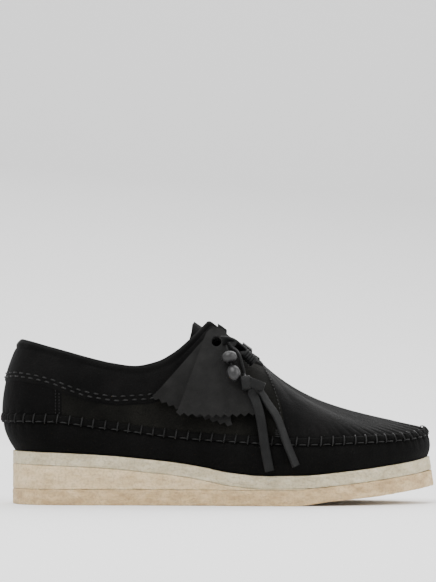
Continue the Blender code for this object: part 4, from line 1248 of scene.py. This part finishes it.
def make_tongue(rings, first_inside, looks):
    """The tongue under the facings, arched across the gap between them."""
    rows, count = rings.shape[:2]
    points = [Vector(p) for p in rings.reshape(-1, 3)]
    tree = BVHTree.FromPolygons(points, torus_faces(rows, count)[first_inside * count :])
    front, tip, throat = BACK + THROAT_SET + TONGUE_LAP, BACK + TONGUE_SET, BACK + THROAT_SET
    start = THROAT_HEIGHT - WALL - TONGUE_GAP
    rise = (TONGUE_TOP - start) / (tip - throat)
    columns = np.linspace(-1, 1, 41)
    outer = []
    for x_row in np.linspace(front, tip, 34):
        swept = TONGUE_SWEEP * ((front - x_row) / (front - tip)) ** 2
        row = []
        for c in columns:
            x, y = x_row - swept * c**2, c * TONGUE_WIDTH / 2
            hit = under(tree, x, y)
            row.append(None if hit is None else hit[0] + hit[1] * TONGUE_GAP)
        outer.append(fill_row(row, x_row, columns, throat, start, rise, swept))
    outer = np.array(outer)
    for _ in range(3):
        outer[1:-1] = (outer[:-2] + 2 * outer[1:-1] + outer[2:]) / 4
        outer[:, 1:-1] = (outer[:, :-2] + 2 * outer[:, 1:-1] + outer[:, 2:]) / 4
    n = np.cross(np.gradient(outer, axis=0), np.gradient(outer, axis=1))
    n = n / np.linalg.norm(n, axis=2)[:, :, None]
    n = n * np.sign(n[:, :, 2:3])
    made = grid_plate("suede_tongue", outer, outer - n * TONGUE_THICK, [looks["apron"], looks["edge"]], 1)
    return settle(made, "suede", "tongue")


def make_fob(name, node, top, swing, growth, trees, looks, seed):
    """A draped fob with zigzag teeth, a soft wave and a punched hole."""
    turn, (top_x, top_z) = math.radians(swing), spot(*top)
    teeth = round(growth * FOB_WIDTH / FOB_TOOTH)
    head = [share * FOB_TOP_RADIUS for share in (0.002, 0.06, 0.2, 0.45, 0.7)]
    rows = np.array([*head, *np.linspace(FOB_TOP_RADIUS, FOB_LENGTH, 26)])

    def place(a, b):
        x = top_x + a * math.cos(turn) - b * math.sin(turn)
        return x, top_z - a * math.sin(turn) - b * math.cos(turn)

    head = [share * FOB_TOP_RADIUS for share in (0.12, 0.45)]
    coarse = np.array([*head, *np.linspace(FOB_TOP_RADIUS, FOB_LENGTH, 9)])
    depths, slant = fob_depths(trees, place, coarse, growth)
    fine = np.interp(rows, coarse, depths)
    front = []
    for r, b in enumerate(rows):
        line = []
        for k in range(6 * teeth + 1):
            c = k / (3 * teeth) - 1
            low = (b / FOB_LENGTH) ** 3
            drop = b - FOB_SAG * low * c**2
            tooth = abs((k % 6) / 3 - 1)
            drop -= FOB_TOOTH_DEPTH * 1.25 * tooth * max(0.0, (b / FOB_LENGTH - 0.93) / 0.07)
            a = c * fob_half_width(b, growth)
            x, z = place(a, drop)
            wave = 0.0005 * noise.noise(Vector((a * 90, b * 70, seed))) * b / FOB_LENGTH
            curl = 0.0009 * low * c**4
            line.append((x, fine[r] + slant * a - FOB_GAP - FOB_THICK - curl - abs(wave), z))
        front.append(line)
    front = np.array(front)
    made = grid_plate(name, front, front + np.array([0, FOB_THICK, 0]), [looks["fob"], looks["fob_edge"]], 1)
    hole_x, hole_z = place(0, FOB_HOLE_DROP)
    hole_y = float(np.interp(FOB_HOLE_DROP, rows, fine)) - FOB_GAP - FOB_THICK / 2
    punch(made, (hole_x, hole_y, hole_z), FOB_HOLE / 2, looks)
    return settle(made, "fob_leather", node)


def punch(target, centre, radius, looks):
    """A round hole through a thin piece, with the cut edge's look."""
    points, faces, sides = [], [], 40
    for y in (-0.02, 0.02):
        for a in np.linspace(0, 2 * math.pi, sides, endpoint=False):
            points.append((centre[0] + radius * math.cos(a), centre[1] + y, centre[2] + radius * math.sin(a)))
    for i in range(sides):
        j = (i + 1) % sides
        faces.append([i, j, sides + j, sides + i])
    faces += [list(range(sides)), list(range(sides, 2 * sides))]
    cutter = solid("punch", points, faces, [looks["fob"], looks["fob_edge"]], [1] * len(faces))
    cut = target.modifiers.new("hole", "BOOLEAN")
    cut.operation = "DIFFERENCE"
    cut.solver = "EXACT"
    cut.object = cutter
    done = bpy.data.meshes.new_from_object(target.evaluated_get(bpy.context.evaluated_depsgraph_get()))
    target.modifiers.clear()
    target.data = done
    bpy.data.objects.remove(cutter, do_unlink=True)


def tree_of(made):
    """A made object's surface, to measure from."""
    points = [v.co.copy() for v in made.data.vertices]
    return BVHTree.FromPolygons(points, [tuple(f.vertices) for f in made.data.polygons])


def strap_points(rows, width, thick):
    """Rings of a rounded flat lace along rows of x, y, z and turn."""
    centre, turn = rows[:, :3], np.radians(rows[:, 3:4])
    ahead = np.gradient(centre, axis=0)
    ahead /= np.linalg.norm(ahead, axis=1)[:, None]
    out = np.array([0, -1, 0]) + ahead * ahead[:, 1:2]
    out /= np.linalg.norm(out, axis=1)[:, None]
    side = np.cross(ahead, out)
    across = side * np.cos(turn) + out * np.sin(turn)
    face = out * np.cos(turn) - side * np.sin(turn)
    return section_rings(centre, across, face, width, thick)


def section_rings(centre, across, face, width, thick):
    """The flat lace's rounded section at each point of a line."""
    corner = [(0.5, 0.25), (0.47, 0.42), (0.40, 0.5), (0.0, 0.47), (-0.40, 0.5), (-0.47, 0.42), (-0.5, 0.25)]
    shape = corner + [(-a, -b) for a, b in corner]
    return np.stack([centre + across * width * a + face * thick * b for a, b in shape], axis=1)


def ring_mesh(name, rings, looks, closed=False, cut_look=0):
    """A piece from rings: joined end to end, or with an end face at each end."""
    rows, count = rings.shape[:2]
    if closed:
        return solid(name, rings.reshape(-1, 3), torus_faces(rows, count), looks)
    faces = torus_faces(rows, count)[:-count]
    picks = [0] * len(faces) + [cut_look] * 2
    faces.append(list(range(count))[::-1])
    faces.append([(rows - 1) * count + i for i in range(count)])
    return solid(name, rings.reshape(-1, 3), faces, looks, picks, 45)


def resample(rows, step=0.0009):
    """The rows at even steps along a smooth line."""
    rows = np.array(rows, float)
    run = np.append(0, np.cumsum(np.linalg.norm(np.diff(rows[:, :3], axis=0), axis=1)))
    fine = np.linspace(0, run[-1], round(run[-1] / step))
    return np.column_stack([monotone(run, rows[:, k], fine) for k in range(rows.shape[1])])


def make_lace(trees, looks):
    """The lace outside the facings: its fold, winding and knot, and the two ends, which are cords."""
    fold, drop = hang(LACE_FOLD, trees), hang(LACE_DROP, trees)
    front, rear = hang(LACE_FRONT, trees), hang(LACE_REAR, trees)
    lo, hi = (np.array(v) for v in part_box("lace_knot"))
    knot = (lo + hi) / 2
    cut = [looks["lace"], looks["lace_cut"]]
    # The rear end runs from the fold down the drop and through the knot. Each row ends with its turn.
    bend = [[*(drop[0, :3] + (-0.0006, -0.0006, 0.0020)), 66.0]]
    through = [[*(knot + (-0.0020, -0.0004, 0.0020)), 74.0], [*(knot + (0.0030, 0.0002, -0.0020)), 60.0]]
    rear_line = resample(np.concatenate([fold[1:3], bend, drop[1:], through, rear]))
    rear_end = ring_mesh("lace_rear_end", strap_points(rear_line, LACE_WIDTH, LACE_THICK), cut, cut_look=1)
    settle(rear_end, "lace_leather", "lace_drop", "lace_rear")
    start = [[*(knot + (0.0006, -0.0006, 0.0010)), 4.0]]
    front_line = resample(np.concatenate([start, front]))
    front_end = ring_mesh("lace_front_end", strap_points(front_line, LACE_WIDTH, LACE_THICK), cut, cut_look=1)
    settle(front_end, "lace_leather", "lace_front")
    top_fold = ring_mesh("lace_top_fold", strap_points(resample(fold), LACE_WIDTH, LACE_THICK), [looks["lace"]])
    settle(top_fold, "lace_leather", "lace_fold")
    left = knot_wrap("lace_knot_left", knot + (-0.0040, 0.0, 0.0004), (0.0040, 0.0034), 82, looks)
    right = knot_wrap("lace_knot_right", knot + (0.0026, -0.0002, -0.0004), (0.0050, 0.0036), 22, looks)
    settle(left, "lace_leather", "lace_knot")
    settle(right, "lace_leather")
    winding = make_winding(looks)


def knot_wrap(name, centre, radii, tilt, looks):
    """One flat turn of the lace round the knot."""
    angles = np.linspace(0, 2 * math.pi, 40, endpoint=False)
    lean = math.radians(tilt)
    first = np.array([math.cos(lean), 0.0, -math.sin(lean)])
    axis = np.array([math.sin(lean), 0.0, math.cos(lean)])
    out = np.array([0.0, -1.0, 0.0])
    spread = np.array([abs(math.cos(a)) ** 0.7 * np.sign(math.cos(a)) for a in angles])
    rise = np.array([abs(math.sin(a)) ** 0.7 * np.sign(math.sin(a)) for a in angles])
    line = centre + np.outer(spread * radii[0], first) + np.outer(rise * radii[1], out)
    face = np.outer(spread / radii[0], first) + np.outer(rise / radii[1], out)
    face /= np.linalg.norm(face, axis=1)[:, None]
    across = np.tile(axis, (len(angles), 1))
    rings = section_rings(line, across, face, LACE_WIDTH * 0.98, LACE_THICK)
    return ring_mesh(name, rings, [looks["lace"]], closed=True)


def lathe(name, centre, axis, profile, looks, around=48):
    """A turned body from pairs of radius and height. Pairs at radius 0 close it, else it has a bore."""
    axis, first, second = frame_on(axis)
    turns = np.linspace(0, 2 * math.pi, around, endpoint=False)
    rings = [
        [centre + axis * h + r * (first * math.cos(a) + second * math.sin(a)) for a in turns]
        for r, h in profile
        if r > 0
    ]
    points = np.array(rings).reshape(-1, 3)
    if len(rings) == len(profile):
        return solid(name, points, torus_faces(len(rings), around), looks)
    faces = torus_faces(len(rings), around)[:-around]
    points = np.concatenate([points, [centre + axis * profile[0][1], centre + axis * profile[-1][1]]])
    last = (len(rings) - 1) * around
    for i in range(around):
        j = (i + 1) % around
        faces.append([len(points) - 2, j, i])
        faces.append([len(points) - 1, last + i, last + j])
    return solid(name, points, faces, looks)


def make_winding(looks):
    """The wound knot where the lace leaves the facing."""
    lo, hi = (np.array(v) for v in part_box("lace_winding"))
    slope = math.radians(WINDING_SLOPE)
    h = np.linspace(-0.5, 0.5, 12 * WINDING_TURNS + 1)
    ribs = 0.80 + 0.20 * np.abs(np.sin(math.pi * WINDING_TURNS * (h + 0.5))) ** 0.6
    profile = [(0.0, -WINDING_LENGTH / 2)]
    profile += [(WINDING_RADIUS * r, WINDING_LENGTH * v) for r, v in zip(ribs, h)]
    profile += [(0.0, WINDING_LENGTH / 2)]
    axis = (math.cos(slope), 0.0, -math.sin(slope))
    made = lathe("wound_knot", (lo + hi) / 2, axis, profile, [looks["lace"]])
    return settle(made, "lace_leather", "lace_winding")


def make_beads(trees, looks):
    """Two painted beads on a string. The lower one has a blind bore."""
    string = string_points(trees)
    way = string[0] - string[1], string[1] - string[2]
    way = [w / np.linalg.norm(w) for w in way]
    profile = bead_profile(ROUND_BEAD, BORE, 1.0)
    round_bead = lathe("painted_round_bead", string[1], way[0] + way[1], profile, [looks["bead_black"]])
    blind = 0.45 * DROP_BEAD[1]
    profile = bead_profile(DROP_BEAD, BORE, blind)
    drop = lathe("painted_drop_bead", string[2], way[1], profile, [looks["bead_dark"]])
    settle(round_bead, "bead", "bead_round")
    settle(drop, "bead", "bead_drop")
    end = string[2] + way[1] * (DROP_BEAD[1] / 2 - blind + STRING)
    points, faces = tube([string[0], string[1], end], STRING / 2, 12)
    settle(solid("string", points, faces, [looks["lace"]]), "lace_leather", "bead_string")


def repaint(node, look):
    node.data.materials.clear()
    node.data.materials.append(look)

# Stage
CAMERA_DISTANCE = 1.6
CAMERA_HEIGHT = 0.070
PIXEL = 0.000679
FRAME_PIXELS = (436, 582)
SHOE_MIDDLE = 217.9
FLOOR_LINE = 502.9
FLOOR_FRONT = -2.2
FLOOR_BACK = 2.0
FLOOR_HALF_WIDTH = 4.0
SWEEP_RADIUS = 0.8
WALL_TOP = 3.2


def make_camera():
    data = bpy.data.cameras.new("photo")
    made = bpy.data.objects.new("photo", data)
    bpy.context.collection.objects.link(made)
    made.location = (0.0, -CAMERA_DISTANCE, CAMERA_HEIGHT)
    made.rotation_euler = (math.radians(90), 0.0, 0.0)
    data.sensor_fit = "VERTICAL"
    data.sensor_height = 24.0
    wide, tall = FRAME_PIXELS
    data.lens = data.sensor_height * CAMERA_DISTANCE / (PIXEL * tall)
    data.shift_x = (wide / 2 - SHOE_MIDDLE) / tall
    data.shift_y = (FLOOR_LINE - CAMERA_HEIGHT / PIXEL - tall / 2) / tall
    bpy.context.scene.camera = made


def plain(name, colour, roughness=0.9):
    made, _, shader = new_look(name, roughness)
    shader.inputs["Base Color"].default_value = (*colour, 1.0)
    return made


def make_stage():
    """A pale floor that curves up behind, and three soft lights."""
    turn = np.radians(np.linspace(10, 90, 9))
    flat = np.linspace(FLOOR_FRONT, FLOOR_BACK, 12)
    depth = np.concatenate([flat, FLOOR_BACK + SWEEP_RADIUS * np.sin(turn), [FLOOR_BACK + SWEEP_RADIUS]])
    height = np.concatenate([0 * flat, SWEEP_RADIUS * (1 - np.cos(turn)), [WALL_TOP]])
    edges = (-FLOOR_HALF_WIDTH, FLOOR_HALF_WIDTH)
    points = [(x, d, h) for d, h in zip(depth, height) for x in edges]
    faces = [(2 * i, 2 * i + 1, 2 * i + 3, 2 * i + 2) for i in range(len(depth) - 1)]
    mesh = bpy.data.meshes.new("studio_floor")
    mesh.from_pydata(points, [], faces)
    mesh.shade_smooth()
    mesh.materials.append(plain("studio_paper", (0.86, 0.86, 0.86)))
    floor = bpy.data.objects.new("studio_floor", mesh)
    bpy.context.collection.objects.link(floor)
    world = bpy.data.worlds.new("studio")
    world.use_nodes = True
    world.node_tree.nodes["Background"].inputs["Color"].default_value = (1.0, 1.0, 1.0, 1.0)
    world.node_tree.nodes["Background"].inputs["Strength"].default_value = 1.15
    bpy.context.scene.world = world
    for name, place, size, power in (
        ("key", (-0.5, -0.9, 1.5), 1.2, 30.0),
        ("side", (1.3, -0.5, 0.8), 1.0, 14.0),
        ("back", (0.2, 1.6, 1.6), 2.4, 60.0),
    ):
        data = bpy.data.lights.new(name, "AREA")
        data.size, data.energy = size, power
        lamp = bpy.data.objects.new(name, data)
        lamp.location = place
        lamp.rotation_euler = (Vector((0, 0, 0.05)) - Vector(place)).to_track_quat("-Z", "Y").to_euler()
        bpy.context.collection.objects.link(lamp)


def main():
    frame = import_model()
    nodes = frame["nodes"]
    make_camera()
    make_stage()
    looks = make_looks()
    rings, upper, first_rim = make_upper(looks)
    make_tongue(rings, first_rim, looks)
    make_sole(looks)
    repaint(nodes["insole"], looks["sock"])
    whip_stitches(looks["thread"])
    band_rows(looks["thread"])
    facing_rows(looks["thread"])
    against = [tree_of(upper)]
    rear = make_fob("rear_fob", "fob_rear", REAR_FOB_TOP, REAR_FOB_SWING, REAR_FOB_GROWTH, against, looks, 4.0)
    behind = against + [tree_of(rear)]
    make_fob("front_fob", "fob_front", FRONT_FOB_TOP, FRONT_FOB_SWING, 1.0, behind, looks, 9.0)
    fobs = [tree_of(nodes["fob_rear"]), tree_of(nodes["fob_front"])]
    make_lace(against + fobs, looks)
    make_beads(fobs, looks)
    for name in ("lace_bar_top", "lace_bar_low"):
        repaint(nodes[name], looks["lace"])


main()
